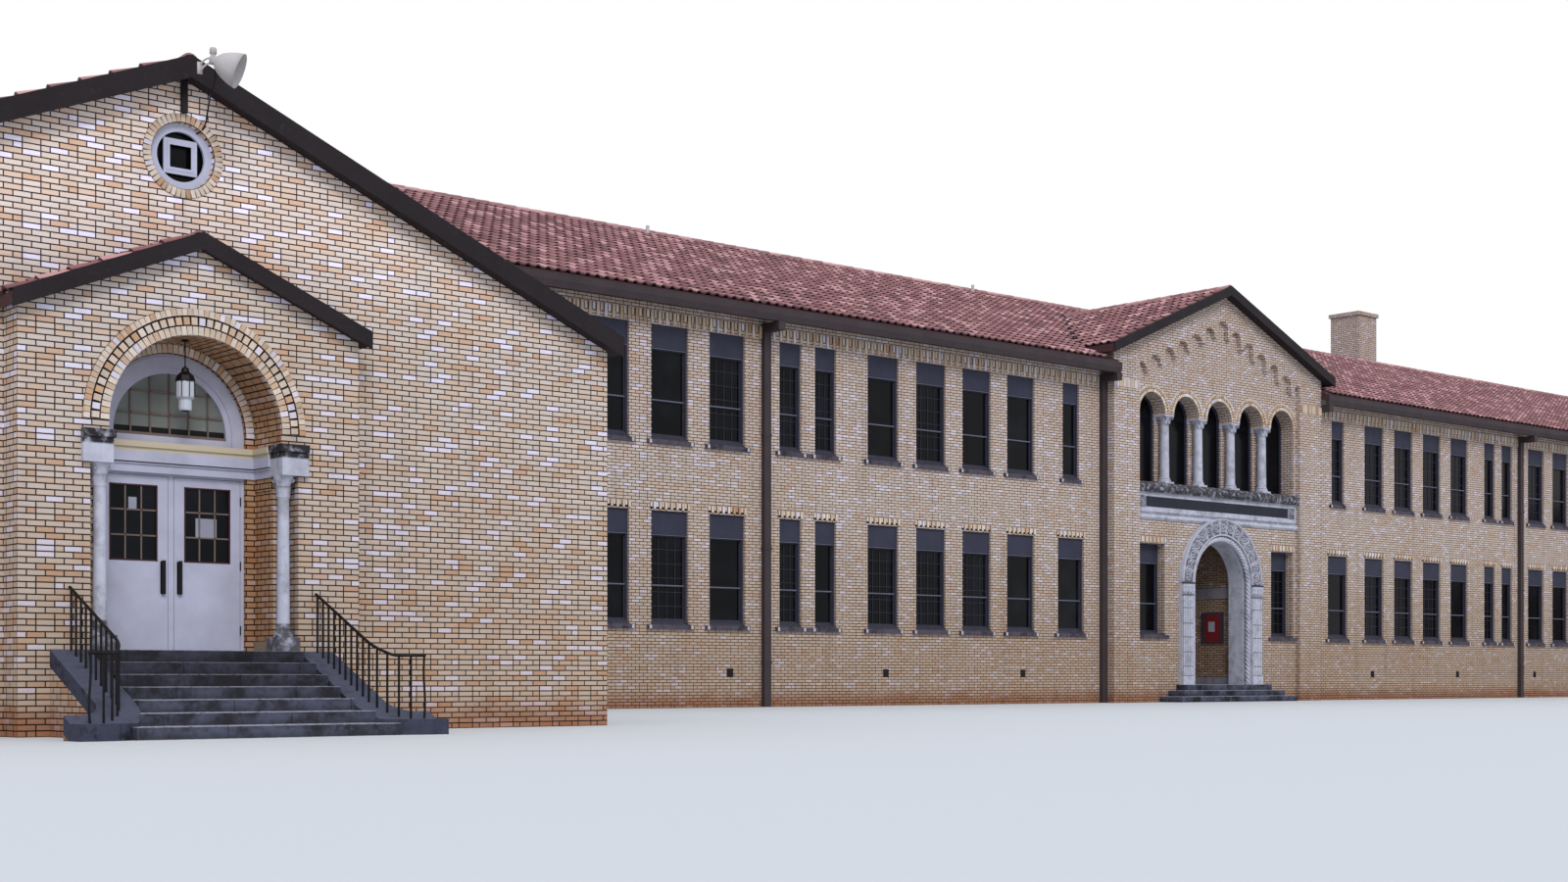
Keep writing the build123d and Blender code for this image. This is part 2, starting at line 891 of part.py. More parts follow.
# Portal: carved archivolt on pilasters, around a plain inner reveal
surround_front = centre_front - portal_projection
with BuildPart() as portal_surround:
    y = (surround_front, wall)
    arched_opening(0, portal_outer, platform_height, portal_spring, *y, mode=Mode.ADD)
    rebate_back = surround_front + 2 * rope_radius
    arched_opening(0, portal_rope_outer, platform_height, portal_spring, surround_front, rebate_back)
    arched_opening(0, portal_opening, platform_height, portal_spring, *y)
    for side in (-1, 1):
        x = (side * portal_rope_outer, side * portal_outer)
        ledge_y = (surround_front - portal_ledge, surround_front)
        block(x, ledge_y, (portal_spring - portal_impost, portal_spring))
        block(x, ledge_y, (platform_height, platform_height + portal_base))
finish(portal_surround, "portal_surround")

# Rope colonnettes in the rebate, joined by a rope round the arch
rope_line = (portal_opening + portal_rope_outer) / 2
rope_y = surround_front + rope_radius
with BuildPart() as portal_ropes:
    with BuildLine(elevation(rope_y)) as rope_path:
        Line((-rope_line, platform_height), (-rope_line, portal_spring))
        ThreePointArc(
            (-rope_line, portal_spring), (0, portal_spring + rope_line), (rope_line, portal_spring)
        )
        Line((rope_line, portal_spring), (rope_line, platform_height))
    with BuildSketch(Plane.XY.offset(platform_height)):
        with Locations((-rope_line, rope_y)):
            Circle(rope_radius)
    sweep(path=rope_path.wires()[0])
finish(portal_ropes, "portal_ropes")

# Portal steps on three sides of the platform, which runs in as the vestibule floor
with BuildPart() as portal_steps:
    step_count = 3
    step_rise = platform_height / step_count
    for i in range(step_count):
        left_over = step_count - 1 - i
        half = platform_half + left_over * platform_side
        front = centre_front - platform_reach - left_over * platform_tread
        block((-half, half), (front, centre_front), (i * step_rise, (i + 1) * step_rise))
    block((-portal_outer, portal_outer), (centre_front, wall), (0, platform_height))
    block((-vestibule_half, vestibule_half), (wall, vestibule_back), (0, platform_height))
finish(portal_steps, "portal_steps")

# Brick vestibule behind the portal, with a doorway in its back wall
with BuildPart() as vestibule_walls:
    outer_y = vestibule_back + vestibule_wall
    block((-vestibule_out, vestibule_out), (wall, outer_y), (0, vestibule_ceiling + vestibule_wall))
    block((-vestibule_half, vestibule_half), (wall, vestibule_back), (0, vestibule_ceiling), Mode.SUBTRACT)
    block(
        (-portal_door_half, portal_door_half),
        (vestibule_back, outer_y),
        (platform_height, portal_door_head),
        Mode.SUBTRACT,
    )
    for side in (-1, 1):
        block(
            (side * vestibule_half, side * vestibule_out),
            (wall, outer_y),
            (ground_floor_height - floor_thickness, ground_floor_height),
        )
finish(vestibule_walls, "vestibule_walls")

# Notice board on the vestibule's right-hand wall
with BuildPart() as notice_board:
    block(
        (vestibule_half - board_thickness, vestibule_half),
        (board_low[0], board_high[0]),
        (board_low[1], board_high[1]),
    )
finish(notice_board, "notice_board")


# Halls: front walls beside the porch, up to the gable's slopes
left_x = -hall_x
with BuildPart() as hall_front_walls:
    for side in (-1, 1):
        prism_along_y(
            (
                (left_x + side * porch_half, 0),
                (left_x + side * hall_half, 0),
                (left_x + side * hall_half, gable_line(hall_wall_apex, hall_half)),
                (left_x + side * porch_half, gable_line(hall_wall_apex, porch_half)),
            ),
            -hall_front,
            hall_inside,
        )
    mirror(about=Plane.YZ)
finish(hall_front_walls, "hall_front_walls")

# Side walls of the halls, with their windows
with BuildPart() as hall_side_walls:
    for side in (-1, 1):
        outer = left_x + side * hall_half
        inner = left_x + side * (hall_half - wall)
        prism_along_y(
            (
                (outer, 0),
                (outer, gable_line(hall_wall_apex, hall_half)),
                (inner, gable_line(hall_wall_apex, hall_half - wall)),
                (inner, 0),
            ),
            hall_inside,
            0,
        )
    mirror(about=Plane.YZ)
    window_holes(hall_windows)
finish(hall_side_walls, "hall_side_walls")

# Piers beside the doorway, notched for the corner columns and their imposts
nook_x = recess_half + nook
nook_y = porch_front + nook_depth
with BuildPart() as porch_piers:
    for side in (-1, 1):
        with BuildSketch(Plane.XY) as plan:
            Polygon(
                (left_x + side * recess_half, porch_front),
                (left_x + side * porch_half, porch_front),
                (left_x + side * porch_half, hall_inside),
                (left_x + side * inner_half, hall_inside),
                (left_x + side * inner_half, recess_back),
                (left_x + side * recess_half, recess_back),
                align=None,
            )
        extrude(plan.sketch, amount=impost_top, dir=(0, 0, 1))
        block(
            (left_x + side * recess_half, left_x + side * nook_x),
            (porch_front, nook_y),
            (landing_height, impost_top),
            Mode.SUBTRACT,
        )
        block(
            (left_x + side * recess_half, left_x + side * impost_outer),
            (porch_front, nook_y),
            (impost_bottom, impost_top),
            Mode.SUBTRACT,
        )
    mirror(about=Plane.YZ)
finish(porch_piers, "porch_piers")

# Arched brick front of the porch, over the piers
with BuildPart() as porch_arches:
    prism_along_y(
        (
            (left_x - porch_half, impost_top),
            (left_x + porch_half, impost_top),
            (left_x + porch_half, gable_line(porch_apex, porch_half)),
            (left_x, porch_apex),
            (left_x - porch_half, gable_line(porch_apex, porch_half)),
        ),
        porch_front,
        -hall_front,
    )
    arched_opening(left_x, recess_half, impost_top, recess_spring, porch_front, -hall_front)
    mirror(about=Plane.YZ)
finish(porch_arches, "porch_arches")

# Gables over the doorway, with the barrel recess, its inner ring and the oculus
with BuildPart() as hall_gables:
    prism_along_y(
        (
            (left_x - porch_half, impost_top),
            (left_x + porch_half, impost_top),
            (left_x + porch_half, gable_line(hall_wall_apex, porch_half)),
            (left_x, hall_wall_apex),
            (left_x - porch_half, gable_line(hall_wall_apex, porch_half)),
        ),
        -hall_front,
        hall_inside,
    )
    arched_opening(left_x, recess_half, impost_top, recess_spring, -hall_front, recess_back)
    arched_opening(left_x, inner_half, impost_top, recess_spring, recess_back, hall_inside)
    with BuildSketch(elevation(-hall_front)):
        with Locations((left_x, oculus_height)):
            Circle(oculus_radius)
    extrude(amount=-hall_front_wall, mode=Mode.SUBTRACT)
    mirror(about=Plane.YZ)
finish(hall_gables, "hall_gables")

# Round window frame with a square light, and its glass
oculus_y = -hall_front + oculus_setback
with BuildPart() as oculus_frames:
    with BuildSketch(elevation(oculus_y)):
        with Locations((left_x, oculus_height)):
            Circle(oculus_radius)
            Circle(oculus_radius - oculus_frame, mode=Mode.SUBTRACT)
            bar = 2 * (oculus_light + oculus_frame / 2)
            Rectangle(bar, 2 * (oculus_radius - oculus_frame))
            Rectangle(2 * (oculus_radius - oculus_frame), bar)
            Rectangle(2 * oculus_light, 2 * (oculus_radius - oculus_frame), mode=Mode.SUBTRACT)
            Rectangle(2 * (oculus_radius - oculus_frame), 2 * oculus_light, mode=Mode.SUBTRACT)
            Rectangle(bar, bar)
            Rectangle(2 * oculus_light, 2 * oculus_light, mode=Mode.SUBTRACT)
    extrude(amount=-oculus_depth)
    mirror(about=Plane.YZ)
finish(oculus_frames, "oculus_frames")

# Roofs of the halls and porches
hall_eave_x = hall_half + hall_eave
hall_eave_height = gable_line(hall_wall_apex, hall_eave_x)
with BuildPart() as wing_roofs:
    for side in (-1, 1):
        prism_along_y(
            (
                (left_x, hall_wall_apex + hall_roof_thickness),
                (left_x + side * hall_eave_x, hall_eave_height + hall_roof_thickness),
                (left_x + side * hall_eave_x, hall_eave_height),
                (left_x, hall_wall_apex),
            ),
            -hall_front - hall_verge,
            0,
        )
        porch_eave_x = porch_half + porch_eave
        porch_eave_height = gable_line(porch_apex, porch_eave_x)
        prism_along_y(
            (
                (left_x, porch_apex + porch_roof_thickness),
                (left_x + side * porch_eave_x, porch_eave_height + porch_roof_thickness),
                (left_x + side * porch_eave_x, porch_eave_height),
                (left_x, porch_apex),
            ),
            porch_front - porch_verge,
            -hall_front,
        )
    mirror(about=Plane.YZ)
finish(wing_roofs, "wing_roofs")


def rake_outline(x, side, apex, reach, depth):
    """Board that follows a gable slope from the apex to its eave."""
    foot = gable_line(apex, reach)
    return (
        (x, apex - rake_lap + depth),
        (x + side * reach, foot - rake_lap + depth),
        (x + side * reach, foot - rake_lap),
        (x, apex - rake_lap),
    )


# Dark rake boards on the gables of the halls, the porches and the pavilion, and the
# post under the left apex
with BuildPart() as rake_boards:
    for side in (-1, 1):
        face = -hall_front - hall_verge
        points = rake_outline(left_x, side, hall_wall_apex, hall_eave_x, rake_board)
        prism_along_y(points, face - rake_thickness, face)
        face = porch_front - porch_verge
        depth = rake_board - hall_roof_thickness + porch_roof_thickness
        points = rake_outline(left_x, side, porch_apex, porch_eave_x, depth)
        prism_along_y(points, face - rake_thickness, face)
    mirror(about=Plane.YZ)
    for side in (-1, 1):
        face = pier_front - pavilion_verge
        points = rake_outline(0, side, pavilion_soffit, roof_half, rake_board)
        prism_along_y(points, face - rake_thickness, face)
    block(
        (left_x - post_width / 2, left_x + post_width / 2),
        (-hall_front - post_depth, -hall_front),
        (post_foot, hall_wall_apex - post_width / 4),
    )
finish(rake_boards, "rake_boards")

# Corner columns of the porch on square pedestals, under their impost blocks
column_x = nook_x - pedestal_size / 2
column_axis_y = nook_y - pedestal_size / 2
for name, on_right in (("left_porch_columns", False), ("right_porch_columns", True)):
    with BuildPart() as porch_columns:
        for side in (-1, 1):
            x = left_x + side * column_x
            half = pedestal_size / 2
            block(
                (x - half, x + half),
                (column_axis_y - half, column_axis_y + half),
                (landing_height, landing_height + pedestal_height),
            )
            column_profile(
                x, column_axis_y, landing_height + pedestal_height, impost_bottom,
                column_radius * 0.97, column_base, capital_height, 0,
            )
            block(
                (left_x + side * (recess_half - impost_lip), left_x + side * impost_outer),
                (porch_front - impost_projection, nook_y),
                (impost_bottom, impost_top - impost_cap),
            )
            block(
                (left_x + side * (recess_half - 2 * impost_lip), left_x + side * impost_outer),
                (porch_front - impost_projection - impost_lip, nook_y),
                (impost_top - impost_cap, impost_top),
            )
        if on_right:
            mirror(about=Plane.YZ, mode=Mode.REPLACE)
    finish(porch_columns, name)


def recess_moulding(depth, z):
    """U-shaped moulding along the back and the sides of the recess."""
    block(
        (left_x - recess_half, left_x + recess_half),
        (recess_back - depth, recess_back),
        z,
    )
    for side in (-1, 1):
        block(
            (left_x + side * (recess_half - depth), left_x + side * recess_half),
            (nook_y, recess_back),
            z,
        )


# Moulded band over the doors, which returns along the recess to the imposts
with BuildPart() as entablatures:
    cap_bottom = entablature_top - entablature_cap
    recess_moulding(entablature_depth - entablature_lip, (entablature_bottom, entablature_bottom + 10))
    recess_moulding(entablature_depth, (entablature_bottom + 10, cap_bottom))
    recess_moulding(entablature_depth + entablature_lip, (cap_bottom, entablature_top))
    block(
        (left_x - inner_half, left_x + inner_half),
        (recess_back, recess_back + door_frame_setback + door_frame_depth),
        (entablature_bottom, entablature_top),
    )
    mirror(about=Plane.YZ)
finish(entablatures, "entablatures")

# White door frames, with the arched frame of the fanlight above
frame_y = (recess_back + door_frame_setback, recess_back + door_frame_setback + door_frame_depth)
clear_half = inner_half - door_frame_face
with BuildPart() as door_frames:
    block(
        (left_x - inner_half, left_x + inner_half), frame_y, (landing_height, entablature_bottom)
    )
    for side in (-1, 1):
        block(
            (left_x + side * mullion_width / 2, left_x + side * clear_half),
            frame_y,
            (landing_height, entablature_bottom - door_frame_face / 2),
            Mode.SUBTRACT,
        )
    arched_opening(left_x, inner_half, entablature_top, recess_spring, *frame_y, mode=Mode.ADD)
    arched_opening(
        left_x, inner_half - door_frame_face, entablature_top + door_frame_face, recess_spring, *frame_y
    )
    mirror(about=Plane.YZ)
finish(door_frames, "door_frames")

# Panes of the fanlights and of the round windows
with BuildPart() as round_panes:
    arched_opening(
        left_x,
        inner_half - door_frame_face,
        entablature_top + door_frame_face,
        recess_spring,
        frame_y[0] + door_frame_depth / 2,
        frame_y[0] + door_frame_depth / 2 + glass_thickness,
        mode=Mode.ADD,
    )
    with BuildSketch(elevation(oculus_y + oculus_depth)):
        with Locations((left_x, oculus_height)):
            Circle(oculus_radius)
    extrude(amount=-glass_thickness)
    mirror(about=Plane.YZ)
finish(round_panes, "round_panes")

# Door leaves, which swing outwards from knuckles on their outer faces
leaf_front = recess_back + leaf_setback
leaf_low = landing_height + threshold
leaf_high = entablature_bottom - door_frame_face / 2 - leaf_gap
leaf_edge = clear_half - leaf_gap
meeting_edge = mullion_width / 2 + leaf_gap
pin_x = clear_half - leaf_gap / 2
pin_y = leaf_front - hinge_radius - hinge_play


def leaf_panel(x, side):
    """One leaf with its glazed opening, hung at the outer end of its side."""
    block(
        (x + side * meeting_edge, x + side * leaf_edge),
        (leaf_front, leaf_front + leaf_thickness),
        (leaf_low, leaf_high),
    )
    block(
        (x + side * (meeting_edge + glazing_side), x + side * (leaf_edge - glazing_side)),
        (leaf_front, leaf_front + leaf_thickness),
        (leaf_high - glazing_top - glazing_height, leaf_high - glazing_top),
        Mode.SUBTRACT,
    )


def leaf_glass(x, side):
    """Pane in the leaf's glazed opening."""
    middle = leaf_front + leaf_thickness / 2
    block(
        (x + side * (meeting_edge + glazing_side), x + side * (leaf_edge - glazing_side)),
        (middle - glass_thickness / 4, middle + glass_thickness / 4),
        (leaf_high - glazing_top - glazing_height, leaf_high - glazing_top),
    )


def leaf_pull(x, side):
    """Upright pull handle near the meeting edge, on two short posts."""
    middle = x + side * (meeting_edge + pull_inset)
    foot = landing_height + pull_rise
    span = (middle - pull_width / 2, middle + pull_width / 2)
    face = leaf_front - pull_standoff
    block(span, (face, face + pull_thickness), (foot, foot + pull_height))
    for z in (foot, foot + pull_height - pull_width):
        block(span, (face, leaf_front), (z, z + pull_width / 2))


for name, side in (("left", -1), ("right", 1)):
    with BuildPart() as leaf:
        leaf_panel(left_x, side)
    finish(leaf, f"{name}_door_leaf")
    with BuildPart() as pane:
        leaf_glass(left_x, side)
    finish(pane, f"{name}_door_glass")
    with BuildPart() as pull:
        leaf_pull(left_x, side)
    finish(pull, f"{name}_door_pull")

# Hinge knuckles, whose line is the axis of each leaf
leaf_height = leaf_high - leaf_low
with BuildPart() as door_hinges:
    for side in (-1, 1):
        for place in hinge_places:
            z = leaf_low + place * leaf_height - hinge_height / 2
            with BuildSketch(Plane.XY.offset(z)):
                with Locations((left_x + side * pin_x, pin_y)):
                    Circle(hinge_radius)
            extrude(amount=hinge_height)
finish(door_hinges, "door_hinges")

# Fixed doors of the far hall and of the vestibule
with BuildPart() as fixed_doors:
    for side in (-1, 1):
        leaf_panel(hall_x, side)
        leaf_pull(hall_x, side)
        x = (side * leaf_gap, side * portal_door_half)
        y = (vestibule_back + leaf_thickness, vestibule_back + 2 * leaf_thickness)
        block(x, y, (platform_height, portal_door_head))
        block(
            (side * glazing_side, side * (portal_door_half - glazing_side)),
            y,
            (portal_door_head - glazing_top - glazing_height, portal_door_head - glazing_top),
            Mode.SUBTRACT,
        )
finish(fixed_doors, "fixed_doors")

# Their panes
with BuildPart() as fixed_door_panes:
    for side in (-1, 1):
        leaf_glass(hall_x, side)
        middle = vestibule_back + leaf_thickness * 3 / 2
        block(
            (side * glazing_side, side * (portal_door_half - glazing_side)),
            (middle - glass_thickness / 4, middle + glass_thickness / 4),
            (portal_door_head - glazing_top - glazing_height, portal_door_head - glazing_top),
        )
finish(fixed_door_panes, "fixed_door_panes")

# Steps before each porch: the lowest ones widen between the flared cheeks
flight_front = porch_front - landing_front
foot_front = flight_front - (riser_count - 1) * tread


def flight_half(step):
    """Half width of a step, counted from the ground."""
    if step >= flare_risers:
        return flight_half_top
    share = (flare_risers - step) / flare_risers
    return flight_half_top + share * (flight_half_foot - flight_half_top)


def flight(x):
    """Flight of steps up to the landing in the recess."""
    for step in range(riser_count):
        half = flight_half(step)
        front = foot_front + step * tread
        block((x - half, x + half), (front, porch_front), (step * riser, (step + 1) * riser))
    block((x - recess_half, x + recess_half), (porch_front, recess_back), (0, landing_height))
    block((x - inner_half, x + inner_half), (recess_back, hall_inside), (0, landing_height))


def cheek_plan(x, side, width):
    """Band along the cheek's line: straight from the porch, then curving outwards."""
    start = (x + side * cheek_line, porch_front)
    bend = (x + side * cheek_line, porch_front - cheek_straight)
    centre = (x + side * (cheek_line + cheek_radius), porch_front - cheek_straight)
    diagonal = cheek_radius * math.sqrt(0.5)
    middle = (centre[0] - side * diagonal, centre[1] - diagonal)
    end = (centre[0], centre[1] - cheek_radius)
    tail = (centre[0] + side * cheek_tail, end[1])
    with BuildLine() as line:
        Line(start, bend)
        ThreePointArc(bend, middle, end)
        Line(end, tail)
    trace(line.line, line_width=width)


slope = riser / tread
coping_start = landing_height
far_y = foot_front - tread


def slope_band(top_shift, thickness, foot):
    """Side outline of a band that follows the flight and levels off at its foot."""
    start = landing_height + top_shift
    drop_y = porch_front - (start - foot) / slope
    return (
        (porch_front, start),
        (drop_y, foot),
        (far_y, foot),
        (far_y, foot - thickness),
        (drop_y, foot - thickness),
        (porch_front, start - thickness),
    )


flight_x = (left_x - hall_half, left_x + hall_half)

with BuildPart() as steps:
    flight(left_x)
    mirror(about=Plane.YZ)
cheek_clear = 0.2
with BuildPart() as cheek_space:
    for side in (-1, 1):
        with BuildSketch(Plane.XY):
            cheek_plan(left_x, side, cheek_width + 2 * cheek_clear)
        extrude(amount=landing_height)
    mirror(about=Plane.YZ)
with BuildPart() as entrance_steps:
    add(steps.part)
    add(cheek_space.part, mode=Mode.SUBTRACT)
finish(entrance_steps, "entrance_steps")

# Sloping concrete copings over the brick cheeks
with BuildPart() as cheek_copings:
    for side in (-1, 1):
        with BuildSketch(Plane.XY):
            cheek_plan(left_x, side, cheek_width)
        extrude(amount=landing_height)
    prism_along_x(slope_band(0, coping_thickness, coping_foot), *flight_x, mode=Mode.INTERSECT)
    mirror(about=Plane.YZ)
finish(cheek_copings, "cheek_copings")

with BuildPart() as step_cheeks:
    for side in (-1, 1):
        with BuildSketch(Plane.XY):
            cheek_plan(left_x, side, cheek_width)
        extrude(amount=landing_height)
    under = landing_height - coping_thickness
    prism_along_x(
        ((porch_front, 0), (porch_front, under), (porch_front - under / slope, 0)),
        *flight_x,
        mode=Mode.INTERSECT,
    )
    mirror(about=Plane.YZ)
finish(step_cheeks, "step_cheeks")


def rail_points(x, side, count):
    """Places along the cheek's line, evenly spaced, for the balusters."""
    arc = math.pi / 2 * cheek_radius
    length = cheek_straight + arc
    places = []
    for i in range(count):
        run = (i + 0.3) * length / count
        if run <= cheek_straight:
            places.append((x + side * cheek_line, porch_front - run))
        else:
            turn = (run - cheek_straight) / cheek_radius
            places.append((
                x + side * (cheek_line + cheek_radius * (1 - math.cos(turn))),
                porch_front - cheek_straight - cheek_radius * math.sin(turn),
            ))
    return places


def height_along(y, start, foot):
    """Height at depth y of a line that follows the flight down to its foot."""
    return max(foot, start - slope * (porch_front - y))


# Iron railings on the copings, one node for each hall
rail_rise = rail_start - landing_height
for name, on_right in (("left_railings", False), ("right_railings", True)):
    with BuildPart() as railings:
        for side in (-1, 1):
            with BuildSketch(Plane.XY):
                cheek_plan(left_x, side, rail_width)
            extrude(amount=rail_start + rail_depth)
        prism_along_x(slope_band(rail_rise, rail_depth, rail_foot), *flight_x, mode=Mode.INTERSECT)
        for side in (-1, 1):
            for x, y in rail_points(left_x, side, balusters):
                low = height_along(y + baluster_size / 2, coping_start, coping_foot)
                high = height_along(y - baluster_size / 2, rail_start, rail_foot) - rail_depth / 2
                half = baluster_size / 2
                block((x - half, x + half), (y - half, y + half), (low, high))
        if on_right:
            mirror(about=Plane.YZ, mode=Mode.REPLACE)
    finish(railings, name)

# Lanterns hung from the crown of each recess
lantern_y = porch_front + recess_depth / 2
soffit = recess_spring + math.sqrt(recess_half ** 2 - lantern_canopy ** 2) - soffit_gap
with BuildPart() as lanterns:
    low = lantern_bottom
    shoulder = low + lantern_low
    body_top = shoulder + lantern_body
    with BuildSketch(section(left_x)):
        Polygon(
            (lantern_y, low),
            (lantern_y + lantern_low_radius * 0.5, low),
            (lantern_y + lantern_low_radius, low + 2),
            (lantern_y + lantern_low_radius, shoulder),
            (lantern_y + lantern_radius, shoulder),
            (lantern_y + lantern_radius, body_top),
            (lantern_y + lantern_radius * 0.4, body_top + 7),
            (lantern_y + lantern_rod, body_top + 9),
            (lantern_y + lantern_rod, soffit - 3),
            (lantern_y + lantern_canopy, soffit - 1),
            (lantern_y + lantern_canopy, soffit),
            (lantern_y, soffit),
            align=None,
        )
    revolve(axis=Axis((left_x, lantern_y, 0), (0, 0, 1)))
    mirror(about=Plane.YZ)
finish(lanterns, "lanterns")

# Floodlight on a yoke at the left gable's apex: an open bell that leans outwards
flood_at = Vector(left_x + flood_place[0], -hall_front + flood_place[1], hall_wall_apex + flood_place[2])
aim = Vector(*flood_aim).normalized()
crossways = aim.cross(Vector(0, 0, 1)).normalized()
bell_plane = Plane(origin=flood_at, x_dir=crossways, z_dir=crossways.cross(aim))
board_front = -hall_front - hall_verge - rake_thickness
inner_radius = flood_radius - flood_shell
with BuildPart() as floodlight:
    with BuildSketch(bell_plane) as profile:
        with BuildLine():
            Polyline(
                (0, 2 * flood_shell),
                (0, -flood_neck_length),
                (flood_neck, -flood_neck_length),
                (flood_neck, 0),
                (flood_collar, 0),
            )
            Spline(
                (flood_collar, 0),
                (flood_radius * 0.78, flood_length * 0.45),
                (flood_radius, flood_length),
            )
            Line((flood_radius, flood_length), (inner_radius, flood_length))
            Spline(
                (inner_radius, flood_length),
                (inner_radius * 0.76, flood_length * 0.48),
                (0, 2 * flood_shell),
            )
        make_face()
    revolve(profile.sketch.faces(), axis=Axis(flood_at, aim))
    neck_end = flood_at - aim * (flood_neck_length / 2)
    for lift in (-flood_arm_spread, flood_arm_spread):
        foot = Vector(left_x, board_front - flood_arm, flood_at.Z + lift / 3)
        head = neck_end + Vector(0, 0, lift)
        with BuildSketch(Plane(origin=foot, z_dir=head - foot)) as bar:
            Circle(flood_arm)
        extrude(bar.sketch, amount=(head - foot).length)
    block(
        (left_x - post_width / 2, left_x + post_width / 2),
        (board_front - 2 * flood_arm, board_front),
        (flood_at.Z - 2 * flood_arm_spread, flood_at.Z + flood_arm_spread),
    )
    with BuildSketch(Plane.XY.offset(neck_end.Z)) as box:
        with Locations((neck_end.X, neck_end.Y)):
            Circle(flood_box)
    extrude(box.sketch, amount=flood_box_height)
finish(floodlight, "floodlight")
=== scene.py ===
import math

import bmesh
import bpy
import numpy as np
from mathutils import Euler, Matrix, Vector


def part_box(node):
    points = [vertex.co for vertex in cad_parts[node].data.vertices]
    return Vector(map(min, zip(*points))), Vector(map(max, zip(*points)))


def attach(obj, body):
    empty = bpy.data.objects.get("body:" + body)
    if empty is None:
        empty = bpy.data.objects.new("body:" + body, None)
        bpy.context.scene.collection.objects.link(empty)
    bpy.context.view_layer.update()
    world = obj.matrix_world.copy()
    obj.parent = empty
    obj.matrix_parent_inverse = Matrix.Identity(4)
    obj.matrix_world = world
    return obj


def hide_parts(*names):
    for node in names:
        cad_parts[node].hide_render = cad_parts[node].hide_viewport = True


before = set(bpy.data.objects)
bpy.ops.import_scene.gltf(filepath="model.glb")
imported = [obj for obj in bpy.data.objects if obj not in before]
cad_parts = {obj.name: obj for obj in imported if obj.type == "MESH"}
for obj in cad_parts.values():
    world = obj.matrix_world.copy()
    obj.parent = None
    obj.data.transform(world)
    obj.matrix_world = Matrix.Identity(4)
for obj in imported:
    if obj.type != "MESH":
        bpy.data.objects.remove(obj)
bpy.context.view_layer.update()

bl_info = {
    "name": "Brick school at 1:10",
    "version": (1, 0, 0),
    "blender": (4, 5, 0),
    "location": "View3D > Sidebar > School",
    "description": "Surfaces, brickwork, tiles and fittings of a brick school model",
    "category": "Object",
}

# Places on the model in metres: X along the front, Y to the back, Z up
BLOCK_HALF = 4.274
BLOCK_DEPTH = 1.510
RIDGE_Z = 1.247
RIDGE_Y = BLOCK_DEPTH / 2
PITCH = 5 / 12
SLOPE = math.atan(PITCH)
EAVE = 0.050
VERGE = 0.020
HALL_X = 3.644
HALL_HALF = 0.630
HALL_FRONT = -1.228
HALL_APEX = 0.788
HALL_EAVE = 0.012
HALL_VERGE = 0.020
HALL_ROOF = 0.020
PORCH_HALF = 0.215
PORCH_FRONT = -1.269
PORCH_APEX = 0.577
PORCH_ROOF = 0.014
PORCH_VERGE = 0.012
ARCH_SPRING = 0.365
ARCH_RADIUS = 0.1086
RECESS_BACK = -1.199
OCULUS_Z = 0.6955
OCULUS_RADIUS = 0.040
PAVILION_HALF = 0.476
PAVILION_RIDGE = 1.165
PAVILION_EAVE = 0.030
PIER_FRONT = -0.033
CENTRE_FRONT = -0.020
PORTAL_FRONT = -0.033
PORTAL_SPRING = 0.332
PORTAL_ROPE = 0.136
PORTAL_OPENING = 0.118
PORTAL_CARVING = 0.1595
PLATFORM = 0.048
ARCADE_PITCH = 0.149
ARCADE_SPRING = 0.792
RISER = 0.0142
NOOK_BACK = -1.244
COLUMN_X = 0.116
COLUMN_Y = -1.259
FANLIGHT_FOOT = 0.351
FANLIGHT_RADIUS = 0.073
DOOR_FACE = -1.1921
FLOODLIGHT_NECK = (-3.6355, -1.2980, 0.7954)
DOWNSPOUT_X = 1.673

# Windows: sill and head of each storey, widths, and the spacing within and between the rooms
LOWER = (0.189, 0.434)
UPPER = (0.595, 0.843)
WIDE = 0.103
NARROW = 0.067
FIRST_X = 0.611
FIRST_UPPER = 0.065
PAVILION_WINDOW = (0.298, 0.108)
ROOM_START = 0.806
ROOM_PITCH = 0.978
WINDOW_PITCH = 0.1635
HALL_WALL_DEPTH = 1.183
HALL_WINDOW_PITCH = 0.240

# Brick bands: the heights over the lower windows, and where the upper frieze ends
BAND = (0.4372, 0.4530)
FRIEZE_END = 3.000

# Places of the sheets behind the door glass: two values of X, then two of Z
DOOR_PAPERS = {
    "left": (-3.6970, -3.6868, 0.2697, 0.2845),
    "right": (-3.6115, -3.5841, 0.2397, 0.2628),
}


def linear(red, green, blue):
    """Scene colour of an 8-bit display colour."""
    def channel(value):
        value = value / 255
        return value / 12.92 if value <= 0.04045 else ((value + 0.055) / 1.055) ** 2.4
    return (channel(red), channel(green), channel(blue), 1.0)


def colour_property(name, red, green, blue):
    """Colour setting that starts at a display colour."""
    return bpy.props.FloatVectorProperty(
        name=name, subtype="COLOR", size=4, min=0, max=1, default=linear(red, green, blue)
    )


def length_property(name, value):
    """Length setting in metres."""
    return bpy.props.FloatProperty(name=name, subtype="DISTANCE", default=value, min=0.0, precision=4)


class SchoolBrickSettings(bpy.types.PropertyGroup):
    """Sizes and colours of the brickwork."""

    course: length_property("Course", 0.0070)
    stretcher: length_property("Stretcher", 0.0215)
    joint: length_property("Joint", 0.0013)
    cream: colour_property("Cream", 224, 208, 192)
    pale: colour_property("Pale", 226, 219, 231)
    buff: colour_property("Buff", 214, 194, 174)
    tan: colour_property("Tan", 208, 180, 154)
    orange: colour_property("Orange", 200, 161, 129)
    mortar: colour_property("Mortar", 42, 35, 36)


